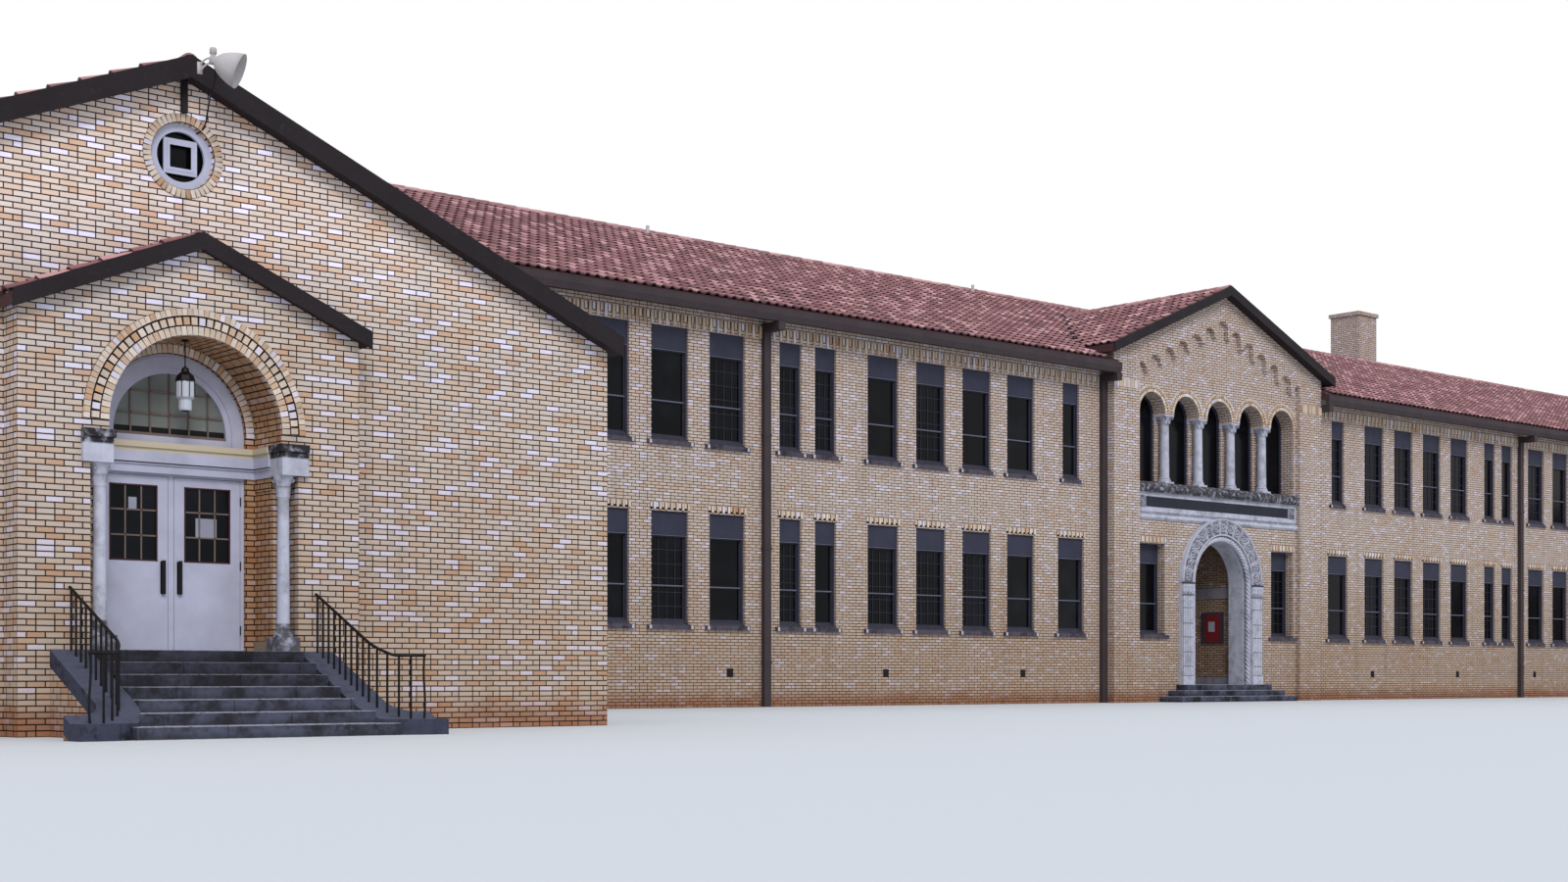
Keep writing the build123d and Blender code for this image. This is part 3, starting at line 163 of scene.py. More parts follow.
class SchoolRoofSettings(bpy.types.PropertyGroup):
    """Sizes and colours of the tiled roofs."""

    tile_width: length_property("Tile width", 0.0250)
    tile_course: length_property("Tile course", 0.0400)
    roll: length_property("Roll height", 0.0058)
    clay: colour_property("Clay", 148, 99, 99)
    dark_clay: colour_property("Dark clay", 112, 75, 78)
    pale_clay: colour_property("Pale clay", 200, 152, 150)
    board: colour_property("Rake board", 38, 31, 36)
    gutter: colour_property("Gutter", 70, 61, 64)


class SchoolTrimSettings(bpy.types.PropertyGroup):
    """Colours of stone, paint, glass and iron."""

    stone: colour_property("Stone", 196, 196, 208)
    stone_dark: colour_property("Stone weathering", 70, 66, 68)
    concrete: colour_property("Concrete", 84, 86, 102)
    window: colour_property("Window paint", 62, 62, 78)
    panel: colour_property("Head panel", 58, 60, 78)
    door: colour_property("Door paint", 208, 210, 232)
    beige: colour_property("Cornice paint", 196, 182, 160)
    maroon: colour_property("Glazing beads", 74, 42, 44)
    glazing: colour_property("Glazing bars", 132, 116, 108)
    white: colour_property("White paint", 214, 210, 210)
    iron: colour_property("Iron", 24, 23, 26)
    red: colour_property("Notice board", 128, 34, 36)


# Node trees


class Tree:
    """Adds nodes to a node tree and links them."""

    def __init__(self, tree):
        self.tree = tree

    def add(self, kind, *values, **settings):
        """New node whose first inputs take these values or sockets."""
        node = self.tree.nodes.new(kind)
        for key, value in settings.items():
            setattr(node, key, value)
        for socket, value in zip(node.inputs, values):
            self.put(socket, value)
        return node

    def put(self, socket, value):
        """Link a socket, or set its value."""
        if isinstance(value, bpy.types.NodeSocket):
            self.tree.links.new(value, socket)
        elif value is not None:
            socket.default_value = value

    def math(self, operation, *values):
        """Result of a math node."""
        return self.add("ShaderNodeMath", *values, operation=operation).outputs[0]

    def mix(self, factor, low, high, blend="MIX"):
        """Mixed colour."""
        node = self.add("ShaderNodeMix", data_type="RGBA", blend_type=blend)
        self.put(node.inputs[0], factor)
        self.put(node.inputs[6], low)
        self.put(node.inputs[7], high)
        return node.outputs[2]

    def select(self, factor, low, high):
        """Mixed value."""
        node = self.add("ShaderNodeMix", data_type="FLOAT")
        self.put(node.inputs[0], factor)
        self.put(node.inputs[2], low)
        self.put(node.inputs[3], high)
        return node.outputs[0]

    def between(self, value, low, high, start=0.0, end=1.0):
        """Value mapped smoothly from one range to another."""
        return self.add(
            "ShaderNodeMapRange", value, low, high, start, end, interpolation_type="SMOOTHSTEP"
        ).outputs[0]

    def noise(self, vector, scale, detail=3.0, rough=0.55):
        """Noise value."""
        node = self.add("ShaderNodeTexNoise")
        self.put(node.inputs["Vector"], vector)
        self.put(node.inputs["Scale"], scale)
        self.put(node.inputs["Detail"], detail)
        self.put(node.inputs["Roughness"], rough)
        return node.outputs[0]

    def coordinates(self):
        """Object coordinates."""
        return self.add("ShaderNodeTexCoord").outputs["Object"]

    def parts(self, vector):
        """X, Y and Z of a vector."""
        return self.add("ShaderNodeSeparateXYZ", vector).outputs

    def facing(self):
        """X, Y and Z of the direction a face looks in."""
        return self.parts(self.add("ShaderNodeNewGeometry").outputs["True Normal"])

    def vector(self, x, y, z):
        """Vector of three values."""
        return self.add("ShaderNodeCombineXYZ", x, y, z).outputs[0]


def new_group(name, kind, inputs, outputs):
    """Empty node group with named sockets: its tree helper, its input node and its output node."""
    group = bpy.data.node_groups.new(name, kind)
    for label, socket, default in inputs:
        item = group.interface.new_socket(label, in_out="INPUT", socket_type=socket)
        if default is not None:
            item.default_value = default
    for label, socket in outputs:
        group.interface.new_socket(label, in_out="OUTPUT", socket_type=socket)
    tree = Tree(group)
    return tree, tree.add("NodeGroupInput"), tree.add("NodeGroupOutput")


def group_named(name, build):
    """Node group of this name, built the first time it is asked for."""
    return bpy.data.node_groups.get(name) or build(name)


def build_brick_bond(name):
    """Common bond with a Flemish course in six: shade, mortar mask and relief."""
    tree, given, out = new_group(
        name,
        "ShaderNodeTree",
        [
            ("Course", "NodeSocketFloat", 0.0070),
            ("Stretcher", "NodeSocketFloat", 0.0215),
            ("Joint", "NodeSocketFloat", 0.0013),
        ],
        [
            ("Shade", "NodeSocketFloat"),
            ("Tone", "NodeSocketFloat"),
            ("Brick", "NodeSocketFloat"),
            ("Height", "NodeSocketFloat"),
        ],
    )
    course, stretcher, joint = given.outputs[:3]
    place = tree.parts(tree.coordinates())
    normal = tree.facing()
    sideways = tree.math(
        "GREATER_THAN", tree.math("ABSOLUTE", normal[0]), tree.math("ABSOLUTE", normal[1])
    )
    flat = tree.math("GREATER_THAN", tree.math("ABSOLUTE", normal[2]), 0.8)
    along = tree.select(tree.math("MAXIMUM", sideways, flat), place[0], place[1])
    wobble = tree.math("MULTIPLY", tree.math("SUBTRACT", tree.noise(tree.coordinates(), 60.0), 0.5), 0.0006)
    along = tree.math("ADD", along, wobble)
    up = tree.math("ADD", tree.select(flat, place[2], place[0]), wobble)
    level = tree.math("DIVIDE", up, course)
    row = tree.math("FLOOR", level)
    down = tree.math("FRACT", level)
    flemish = tree.math("LESS_THAN", tree.math("FLOORED_MODULO", row, 6.0), 0.5)
    stagger = tree.math("MULTIPLY", tree.math("FLOORED_MODULO", row, 2.0), 0.5)
    plain = tree.math("ADD", tree.math("DIVIDE", along, stretcher), stagger)
    plain_part = tree.math("FRACT", plain)
    pair = tree.math("DIVIDE", along, tree.math("MULTIPLY", stretcher, 1.5))
    pair_part = tree.math("MULTIPLY", tree.math("FRACT", pair), 1.5)
    header = tree.math("GREATER_THAN", pair_part, 1.0)
    pair_index = tree.math("ADD", tree.math("MULTIPLY", tree.math("FLOOR", pair), 2.0), header)
    plain_gap = tree.math("MINIMUM", plain_part, tree.math("SUBTRACT", 1.0, plain_part))
    pair_gap = tree.math(
        "MINIMUM",
        tree.math("ABSOLUTE", tree.math("SUBTRACT", pair_part, 1.0)),
        tree.math("MINIMUM", pair_part, tree.math("SUBTRACT", 1.5, pair_part)),
    )
    index = tree.select(flemish, tree.math("FLOOR", plain), pair_index)
    end_gap = tree.math("MULTIPLY", tree.select(flemish, plain_gap, pair_gap), stretcher)
    bed_gap = tree.math(
        "MULTIPLY", tree.math("MINIMUM", down, tree.math("SUBTRACT", 1.0, down)), course
    )
    gap = tree.math("MINIMUM", end_gap, bed_gap)
    near = tree.math("MULTIPLY", joint, 0.42)
    far = tree.math("MULTIPLY", joint, 0.70)
    brick = tree.between(gap, near, far)
    white = tree.add("ShaderNodeTexWhiteNoise", tree.vector(index, row, sideways), noise_dimensions="3D")
    second = tree.parts(white.outputs["Color"])
    grain = tree.noise(tree.coordinates(), 900.0, 2.0)
    height = tree.math("ADD", brick, tree.math("MULTIPLY", grain, 0.25))
    height = tree.math("ADD", height, tree.math("MULTIPLY", second[1], 0.2))
    tree.put(out.inputs["Shade"], white.outputs["Value"])
    tree.put(out.inputs["Tone"], second[0])
    tree.put(out.inputs["Brick"], brick)
    tree.put(out.inputs["Height"], height)
    return tree.tree


def build_weather(name):
    """Patches, streaks that run down, and dirt near the ground, each from 0 to 1."""
    tree, given, out = new_group(
        name,
        "ShaderNodeTree",
        [("Ground reach", "NodeSocketFloat", 0.03)],
        [("Patches", "NodeSocketFloat"), ("Streaks", "NodeSocketFloat"), ("Ground", "NodeSocketFloat")],
    )
    place = tree.coordinates()
    x, y, z = tree.parts(place)
    patches = tree.between(tree.noise(place, 3.2, 5.0, 0.6), 0.40, 0.72)
    stretched = tree.vector(
        tree.math("MULTIPLY", x, 26.0), tree.math("MULTIPLY", y, 26.0), tree.math("MULTIPLY", z, 2.2)
    )
    streaks = tree.between(tree.noise(stretched, 1.0, 4.0, 0.6), 0.48, 0.76)
    edge = tree.math("ADD", z, tree.math("MULTIPLY", tree.noise(place, 22.0, 3.0), -0.04))
    ground = tree.between(edge, given.outputs[0], -0.015)
    tree.put(out.inputs["Patches"], patches)
    tree.put(out.inputs["Streaks"], streaks)
    tree.put(out.inputs["Ground"], ground)
    return tree.tree


def build_brick_weathering(name):
    """Brick colour turned orange in patches and soiled near the ground."""
    tree, given, out = new_group(
        name,
        "ShaderNodeTree",
        [
            ("Color", "NodeSocketColor", None),
            ("Patches", "NodeSocketFloat", 0.0),
            ("Ground", "NodeSocketFloat", 0.0),
            ("Warmth", "NodeSocketFloat", 0.0),
        ],
        [("Color", "NodeSocketColor")],
    )
    colour, patches, ground, warmth = given.outputs[:4]
    tint = tree.select(patches, warmth, tree.math("ADD", warmth, 0.2))
    colour = tree.mix(tint, colour, linear(232, 206, 168), "MULTIPLY")
    soil = tree.math("MULTIPLY", ground, 0.75)
    tree.put(out.inputs["Color"], tree.mix(soil, colour, linear(198, 140, 96), "MULTIPLY"))
    return tree.tree


def build_brick_colour(name):
    """Colour of one brick from two random values."""
    labels = ("Cream", "Pale", "Buff", "Tan", "Orange")
    tree, given, out = new_group(
        name,
        "ShaderNodeTree",
        [("Shade", "NodeSocketFloat", 0.5), ("Tone", "NodeSocketFloat", 0.5)]
        + [(label, "NodeSocketColor", None) for label in labels],
        [("Color", "NodeSocketColor")],
    )
    shade, tone = given.outputs[:2]
    colours = [given.outputs[label] for label in labels]
    colour = colours[0]
    for edge, other in ((0.38, colours[2]), (0.66, colours[3]), (0.82, colours[4]), (0.89, colours[1])):
        colour = tree.mix(tree.math("GREATER_THAN", shade, edge), colour, other)
    light = tree.select(tone, 0.84, 1.10)
    tree.put(out.inputs["Color"], tree.mix(1.0, colour, tree.vector(light, light, light), "MULTIPLY"))
    return tree.tree


def new_material(name):
    """Empty material: its tree helper and its Principled BSDF."""
    material = bpy.data.materials.new(name)
    material.use_nodes = True
    tree = Tree(material.node_tree)
    surface = material.node_tree.nodes["Principled BSDF"]
    surface.inputs["Specular IOR Level"].default_value = 0.2
    return material, tree, surface


def brick_colour(tree, shade, tone):
    """Colour of a brick in a material, from the brick settings."""
    settings = bpy.context.scene.school_brick
    node = tree.add("ShaderNodeGroup", node_tree=group_named("Brick colour", build_brick_colour))
    tree.put(node.inputs["Shade"], shade)
    tree.put(node.inputs["Tone"], tone)
    for label in ("Cream", "Pale", "Buff", "Tan", "Orange"):
        node.inputs[label].default_value = getattr(settings, label.lower())
    return node.outputs[0]


def bump(tree, surface, height, strength, distance):
    """Relief on a surface."""
    node = tree.add("ShaderNodeBump")
    node.inputs["Strength"].default_value = strength
    node.inputs["Distance"].default_value = distance
    tree.put(node.inputs["Height"], height)
    tree.put(surface.inputs["Normal"], node.outputs[0])


def weather_node(tree):
    """Weathering masks in a material."""
    return tree.add("ShaderNodeGroup", node_tree=group_named("Weathering", build_weather)).outputs


def weathered_brick(tree, colour, weather, warmth):
    """Brick colour after its weathering in a material; warmth turns it orange."""
    group = group_named("Brick weathering", build_brick_weathering)
    node = tree.add("ShaderNodeGroup", node_tree=group)
    tree.put(node.inputs["Color"], colour)
    tree.put(node.inputs["Patches"], weather["Patches"])
    tree.put(node.inputs["Ground"], weather["Ground"])
    node.inputs["Warmth"].default_value = warmth
    return node.outputs[0]


def brick_wall_material(name, warmth=0.0, depth=1.0, calm=0.0, painted_shade_recesses=(), gable=1.0):
    """Wall of bricks; warmth turns it orange, depth scales its light, calm evens the bricks out.

    The gable factor multiplies the colour above the halls' eaves as painted light; the low wall and each
    porch recess get painted shade.
    """
    settings = bpy.context.scene.school_brick
    material, tree, surface = new_material(name)
    bond = tree.add("ShaderNodeGroup", node_tree=group_named("Brick bond", build_brick_bond))
    for label in ("Course", "Stretcher", "Joint"):
        bond.inputs[label].default_value = getattr(settings, label.lower())
    colour = brick_colour(tree, bond.outputs["Shade"], bond.outputs["Tone"])
    colour = tree.mix(calm, colour, settings.buff)
    colour = tree.mix(bond.outputs["Brick"], settings.mortar, colour)
    weather = weather_node(tree)
    colour = weathered_brick(tree, colour, weather, warmth)
    streaks = tree.math("MULTIPLY", weather["Streaks"], 0.22)
    colour = tree.mix(streaks, colour, linear(150 * depth, 132 * depth, 118 * depth), "MULTIPLY")
    x, y, z = tree.parts(tree.coordinates())
    # Painted shade low on the wall, warmer and darker, and painted bluish sky light higher up.
    low = tuple(depth * v for v in (0.80, 0.73, 0.68)) + (1.0,)
    high = tuple(depth * v for v in (1.04, 1.05, 1.11)) + (1.0,)
    colour = tree.mix(1.0, colour, tree.mix(tree.between(z, 0.02, 0.55), low, high), "MULTIPLY")
    # Painted light on the gables above the halls' eaves.
    gable_painted_light = (gable, gable * 0.985, gable, 1.0)
    colour = tree.mix(tree.between(z, 0.48, 0.64), colour, gable_painted_light, "MULTIPLY")
    # Painted shade in each porch recess, behind the porch front and below the arch.
    for axis, reach, front, top in painted_shade_recesses:
        beside = tree.math("SUBTRACT", tree.math("ABSOLUTE", x), axis)
        inside = tree.math("LESS_THAN", tree.math("ABSOLUTE", beside), reach)
        inside = tree.math("MULTIPLY", inside, tree.math("GREATER_THAN", y, front))
        inside = tree.math("MULTIPLY", inside, tree.math("LESS_THAN", z, top))
        colour = tree.mix(inside, colour, linear(226, 196, 165), "MULTIPLY")
    tree.put(surface.inputs["Base Color"], colour)
    tree.put(surface.inputs["Roughness"], tree.select(bond.outputs["Brick"], 0.95, 0.72))
    bump(tree, surface, bond.outputs["Height"], 0.6, 0.0010)
    return material


def laid_brick_material(name, warmth=0.0):
    """Single bricks laid as pieces, coloured by their shade attribute."""
    material, tree, surface = new_material(name)
    shade = tree.add("ShaderNodeAttribute", attribute_name="shade").outputs["Fac"]
    tone = tree.math("FRACT", tree.math("MULTIPLY", shade, 37.7))
    colour = weathered_brick(tree, brick_colour(tree, shade, tone), weather_node(tree), warmth)
    place = tree.coordinates()
    speck = tree.between(tree.noise(place, 420.0, 4.0, 0.7), 0.35, 0.75)
    colour = tree.mix(tree.math("MULTIPLY", speck, 0.30), colour, linear(186, 160, 136), "MULTIPLY")
    tree.put(surface.inputs["Base Color"], colour)
    tree.put(surface.inputs["Roughness"], tree.select(speck, 0.62, 0.85))
    bump(tree, surface, tree.noise(place, 700.0, 3.0), 0.35, 0.0006)
    return material


def mortar_material(name):
    """Recessed joints behind laid bricks."""
    settings = bpy.context.scene.school_brick
    material, tree, surface = new_material(name)
    grain = tree.noise(tree.coordinates(), 500.0, 4.0)
    dark = tree.mix(1.0, settings.mortar, linear(188, 184, 180), "MULTIPLY")
    tree.put(surface.inputs["Base Color"], tree.mix(grain, dark, settings.mortar))
    surface.inputs["Roughness"].default_value = 0.95
    bump(tree, surface, grain, 0.4, 0.0005)
    return material


def tile_material(name):
    """Clay tiles, each piece with its own random tone, with painted shade in the hollows, at the covered
    ends and underneath, and a painted highlight on the crowns.
    """
    settings = bpy.context.scene.school_roof
    material, tree, surface = new_material(name)
    shade = tree.add("ShaderNodeAttribute", attribute_name="shade").outputs["Fac"]
    place = tree.coordinates()
    cloud = tree.noise(place, 5.0, 5.0, 0.6)
    colour = tree.mix(tree.between(shade, 0.0, 0.55), settings.dark_clay, settings.clay)
    colour = tree.mix(tree.between(shade, 0.62, 1.0), colour, settings.pale_clay)
    colour = tree.mix(tree.between(cloud, 0.50, 0.75, 0.0, 0.35), colour, linear(96, 66, 66))
    grain = tree.noise(place, 300.0, 4.0)
    colour = tree.mix(tree.between(grain, 0.55, 0.8, 0.0, 0.25), colour, linear(188, 150, 140))
    # Painted shade where the tile lies low or under the next course, and a painted highlight on the crowns.
    crown = tree.add("ShaderNodeAttribute", attribute_name="crown").outputs["Fac"]
    colour = tree.mix(tree.between(crown, 0.45, 0.0, 0.0, 0.72), colour, linear(52, 32, 36))
    colour = tree.mix(tree.between(crown, 0.6, 1.0, 0.0, 0.35), colour, linear(214, 172, 170))
    # Painted shade on faces turned downwards.
    normal = tree.facing()
    colour = tree.mix(tree.between(normal[2], -0.2, -0.6), colour, linear(40, 32, 34))
    tree.put(surface.inputs["Base Color"], colour)
    tree.put(surface.inputs["Roughness"], tree.select(grain, 0.55, 0.8))
    bump(tree, surface, grain, 0.3, 0.0006)
    return material


def stone_material(name, colour, dark, amount=0.6, scale=1.0, soiled=(), worn=None):
    """Cut stone or concrete, darkened in patches, streaks and soiled heights; worn is the top's colour,
    painted sky light where it is lighter, as on the coping.
    """
    material, tree, surface = new_material(name)
    place = tree.coordinates()
    streaks = weather_node(tree)["Streaks"]
    fine = tree.noise(place, 60.0 * scale, 6.0, 0.65)
    shaded = tree.mix(tree.between(fine, 0.35, 0.7, 0.0, 0.35), colour, tree.mix(0.5, colour, dark))
    blot = tree.noise(place, 28.0 * scale, 5.0, 0.7)
    shaded = tree.mix(tree.math("MULTIPLY", tree.between(blot, 0.48, 0.66), amount), shaded, dark)
    shaded = tree.mix(tree.math("MULTIPLY", streaks, amount * 0.5), shaded, dark)
    normal = tree.facing()
    # Tops turn towards the worn colour: dirt where that is the dark colour, painted sky light where it is
    # lighter, as on the coping.
    top = tree.math("MULTIPLY", tree.between(normal[2], 0.4, 0.9), amount * 0.5)
    shaded = tree.mix(top, shaded, worn or dark)
    height = tree.parts(place)[2]
    deep = [share * part for share, part in zip(dark, linear(176, 172, 178))]
    for low, high, strength in soiled:
        above = tree.between(height, low - 0.003, low)
        inside = tree.math("MULTIPLY", above, tree.between(height, high + 0.003, high))
        blotted = tree.between(tree.noise(place, 90.0, 3.0, 0.6), 0.80, 0.44)
        mask = tree.math("MULTIPLY", tree.math("MULTIPLY", inside, blotted), strength)
        shaded = tree.mix(mask, shaded, deep)
    tree.put(surface.inputs["Base Color"], shaded)
    tree.put(surface.inputs["Roughness"], tree.select(fine, 0.75, 0.95))
    grain = tree.noise(place, 420.0 * scale, 4.0)
    bump(tree, surface, tree.math("ADD", grain, fine), 0.35, 0.0008)
    return material


def stair_material(name, rise, dark):
    """Concrete steps: dark stained risers with pale worn edges and upright joints."""
    settings = bpy.context.scene.school_trim
    material, tree, surface = new_material(name)
    place = tree.coordinates()
    x, _, z = tree.parts(place)
    blot = tree.noise(place, 24.0, 6.0, 0.7)
    fine = tree.noise(place, 150.0, 5.0, 0.7)
    colour = tree.mix(tree.between(blot, 0.36, 0.62), dark, settings.concrete)
    level = tree.math("DIVIDE", tree.math("SUBTRACT", z, 0.0003), rise)
    share = tree.math("FRACT", level)
    row = tree.math("FLOOR", level)
    colour = tree.mix(tree.between(tree.math("ADD", share, fine), 1.15, 0.35, 0.0, 0.6), colour, dark)
    normal = tree.facing()
    edge = tree.math("MULTIPLY", tree.between(share, 0.90, 0.97), tree.between(fine, 0.30, 0.55))
    colour = tree.mix(tree.math("MULTIPLY", edge, 0.8), colour, linear(176, 176, 186))
    tread = tree.between(normal[2], 0.4, 0.9, 0.0, 0.55)
    colour = tree.mix(tread, colour, linear(150, 148, 150))
    shift = tree.math("MULTIPLY", row, 0.377)
    joint = tree.math("PINGPONG", tree.math("ADD", tree.math("DIVIDE", x, 0.148), shift), 0.5)
    colour = tree.mix(tree.between(joint, 0.005, 0.002, 0.0, 0.7), colour, linear(22, 21, 24))
    colour = tree.mix(tree.between(z, 0.03, 0.09), colour, linear(190, 186, 186), "MULTIPLY")
    tree.put(surface.inputs["Base Color"], colour)
    tree.put(surface.inputs["Roughness"], tree.select(fine, 0.7, 0.95))
    bump(tree, surface, tree.math("ADD", fine, blot), 0.4, 0.0008)
    return material


def paint_material(name, colour, rough=0.45, wear=0.25, metal=0.0, worn=(120, 112, 108), bands=()):
    """Paint with uneven gloss, slight dirt and worn spots."""
    material, tree, surface = new_material(name)
    place = tree.coordinates()
    cloud = tree.noise(place, 18.0, 5.0, 0.6)
    speck = tree.between(tree.noise(place, 160.0, 5.0, 0.7), 0.56, 0.74)
    shaded = tree.mix(cloud, colour, linear(196, 190, 184), "MULTIPLY")
    height = tree.parts(place)[2]
    for low, high, other in bands:
        above = tree.math("GREATER_THAN", height, low)
        inside = tree.math("MULTIPLY", above, tree.math("LESS_THAN", height, high))
        shaded = tree.mix(inside, shaded, other)
    shaded = tree.mix(tree.math("MULTIPLY", speck, wear), shaded, linear(*worn))
    tree.put(surface.inputs["Base Color"], shaded)
    tree.put(surface.inputs["Roughness"], tree.select(cloud, rough, min(1.0, rough + 0.25)))
    surface.inputs["Metallic"].default_value = metal
    bump(tree, surface, tree.math("ADD", cloud, speck), 0.12, 0.0005)
    return material


def glass_material(name, colour=(7, 8, 11), cloudy=(20, 22, 28), level=0.0):
    """Window glass before a dark room, pale above a level where a blind hangs behind it."""
    material, tree, surface = new_material(name)
    place = tree.coordinates()
    cloud = tree.noise(place, 9.0, 4.0)
    base = tree.mix(tree.between(cloud, 0.45, 0.75), linear(*colour), linear(*cloudy))
    if level:
        height = tree.parts(place)[2]
        base = tree.mix(tree.between(height, level, level + 0.001), linear(24, 22, 24), base)
    tree.put(surface.inputs["Base Color"], base)
    tree.put(surface.inputs["Roughness"], tree.select(cloud, 0.08, 0.22))
    surface.inputs["Specular IOR Level"].default_value = 0.10
    bump(tree, surface, tree.noise(place, 14.0, 2.0), 0.05, 0.001)
    return material


def floor_material(name):
    """Plain pale studio floor."""
    material, _, surface = new_material(name)
    surface.inputs["Base Color"].default_value = linear(206, 207, 206)
    surface.inputs["Roughness"].default_value = 0.9
    return material


def stone_colours():
    """Clean and weathered colour of the cut stone."""
    settings = bpy.context.scene.school_trim
    return settings.stone, settings.stone_dark


def trim_paint(name, colour, *finish):
    """Paint in one of the trim colours of the settings."""
    return paint_material(name, getattr(bpy.context.scene.school_trim, colour), *finish)


def roof_paint(name, colour, *finish):
    """Paint in one of the roof colours of the settings."""
    return paint_material(name, getattr(bpy.context.scene.school_roof, colour), *finish)


MAKERS = {
    # A depth below one paints shade into the brick colour: a little on the outer walls, most in the
    # vestibule.
    "Brick wall": lambda name: brick_wall_material(
        name, depth=0.96, calm=0.15, painted_shade_recesses=((HALL_X, ARCH_RADIUS + 0.002, PORCH_FRONT + 0.003, 0.476),),
        gable=1.36,
    ),
    "Inner brick": lambda name: brick_wall_material(name, warmth=0.5, depth=0.60),
    "Brick wall warm": lambda name: brick_wall_material(name, warmth=0.04, depth=0.86, calm=0.4),
    "Laid brick": laid_brick_material,
    "Laid brick warm": lambda name: laid_brick_material(name, warmth=0.05),
    "Mortar": mortar_material,
    "Tile": tile_material,
    "Stone": lambda name: stone_material(name, *stone_colours(), 0.35),
    "Porch stone": lambda name: stone_material(
        name, *stone_colours(), 0.35, soiled=((0.099, 0.132, 0.85), (0.338, 0.354, 1.0))
    ),
    "Band stone": lambda name: stone_material(
        name, *stone_colours(), 0.40, soiled=((0.574, 0.606, 0.95), (0.514, 0.519, 0.6))
    ),
    "Dark stone": lambda name: stone_material(name, linear(72, 72, 84), linear(18, 17, 20), 0.8, 1.8),
    # The coping's lighter worn colour paints sky light on its tops.
    "Coping": lambda name: stone_material(
        name, linear(66, 68, 84), linear(26, 26, 32), 0.9, 1.6, worn=linear(92, 94, 110)
    ),
    "Sill stone": lambda name: stone_material(name, linear(84, 78, 88), linear(30, 28, 36), 0.8, 1.6),
    "Concrete": lambda name: stone_material(
        name, bpy.context.scene.school_trim.concrete, linear(46, 45, 50), 0.8
    ),
    "Stairs": lambda name: stair_material(name, RISER, linear(44, 43, 48)),
    "Portal stairs": lambda name: stair_material(name, 0.016, linear(26, 25, 29)),
    "Entablature": lambda name: paint_material(
        name, bpy.context.scene.school_trim.door, 0.45, 0.15,
        bands=((0.3395, 0.3515, linear(200, 186, 160)), (0.3250, 0.3268, linear(52, 44, 48))),
    ),
    "Lip": lambda name: paint_material(name, linear(116, 118, 138), 0.5, 0.1),
    "Beige": lambda name: paint_material(name, linear(168, 150, 132), 0.7, 0.2),
    "Pale panel": lambda name: stone_material(name, linear(136, 132, 138), linear(84, 80, 82), 0.4),
    "Ornament": lambda name: stone_material(name, linear(140, 138, 146), linear(34, 34, 42), 1.0, 3.0),
    # Mortar behind teeth of brick, darkened to painted shade in the gaps.
    "Dark gap": lambda name: paint_material(name, linear(30, 25, 25), 0.9, 0.0),
    "Carved ground": lambda name: stone_material(name, linear(122, 118, 122), linear(62, 60, 64), 0.8, 2.0),
    "Joint": lambda name: paint_material(name, linear(70, 66, 72), 0.9, 0.1),
    "Cornice paint": lambda name: trim_paint(name, "beige", 0.5, 0.1),
    "Glazing beads": lambda name: trim_paint(name, "maroon", 0.5, 0.1),
    "Glazing bars": lambda name: trim_paint(name, "glazing", 0.5, 0.1),
    "Paper": lambda name: paint_material(name, linear(170, 174, 190), 0.8, 0.05),
    "Name strip": lambda name: paint_material(name, linear(44, 46, 58), 0.5, 0.15),
    "Rake board": lambda name: roof_paint(name, "board", 0.5, 0.1),
    "Gutter": lambda name: roof_paint(name, "gutter", 0.5, 0.15),
    "Window paint": lambda name: trim_paint(name, "window", 0.45, 0.3),
    "Head panel": lambda name: trim_paint(name, "panel", 0.5, 0.1),
    "Door paint": lambda name: trim_paint(name, "door", 0.4, 0.12),
    "White paint": lambda name: trim_paint(name, "white", 0.45, 0.2),
    "Iron": lambda name: trim_paint(name, "iron", 0.35, 0.1, 0.2, (70, 50, 42)),
    "Red paint": lambda name: trim_paint(name, "red", 0.6, 0.1),
    "Flashing": lambda name: paint_material(name, linear(150, 168, 190), 0.35, 0.2, 0.6),
    "Lamp glass": lambda name: paint_material(name, linear(216, 222, 232), 0.2, 0.1),
    "Glass": glass_material,
    "Fanlight glass": lambda name: glass_material(
        name, (120, 124, 118), (168, 172, 176), level=0.3705
    ),
    "Floor": floor_material,
}


def material_named(name):
    """Material of this name, made the first time it is asked for."""
    return bpy.data.materials.get(name) or MAKERS[name](name)


def finish_nodes(name, *nodes):
    """Give CAD nodes a material through their slots."""
    material = material_named(name)
    for node in nodes:
        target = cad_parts[node]
        if not target.material_slots:
            target.data.materials.append(None)
        for place in target.material_slots:
            place.link = "OBJECT"
            place.material = material


# Geometry


def mesh_piece(name, vertices, faces, material, body="building", smooth=False):
    """New piece from vertices and faces, its doubles merged and its faces turned outwards."""
    mesh = bpy.data.meshes.new(name)
    mesh.from_pydata([tuple(v) for v in vertices], [], [tuple(f) for f in faces])
    shape = bmesh.new()
    shape.from_mesh(mesh)
    bmesh.ops.remove_doubles(shape, verts=shape.verts, dist=1e-7)
    bmesh.ops.recalc_face_normals(shape, faces=shape.faces)
    shape.to_mesh(mesh)
    shape.free()
    return link_piece(name, mesh, material, body, smooth)


def link_piece(name, mesh, material, body="building", smooth=False):
    """Link a mesh as a piece that rides on a body."""
    piece = bpy.data.objects.new(name, mesh)
    bpy.context.scene.collection.objects.link(piece)
    mesh.materials.clear()
    mesh.materials.append(material_named(material))
    if smooth:
        mesh.shade_smooth()
    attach(piece, body)
    return piece


BOX_FACES = ((0, 3, 2, 1), (4, 5, 6, 7), (0, 1, 5, 4), (1, 2, 6, 5), (2, 3, 7, 6), (3, 0, 4, 7))


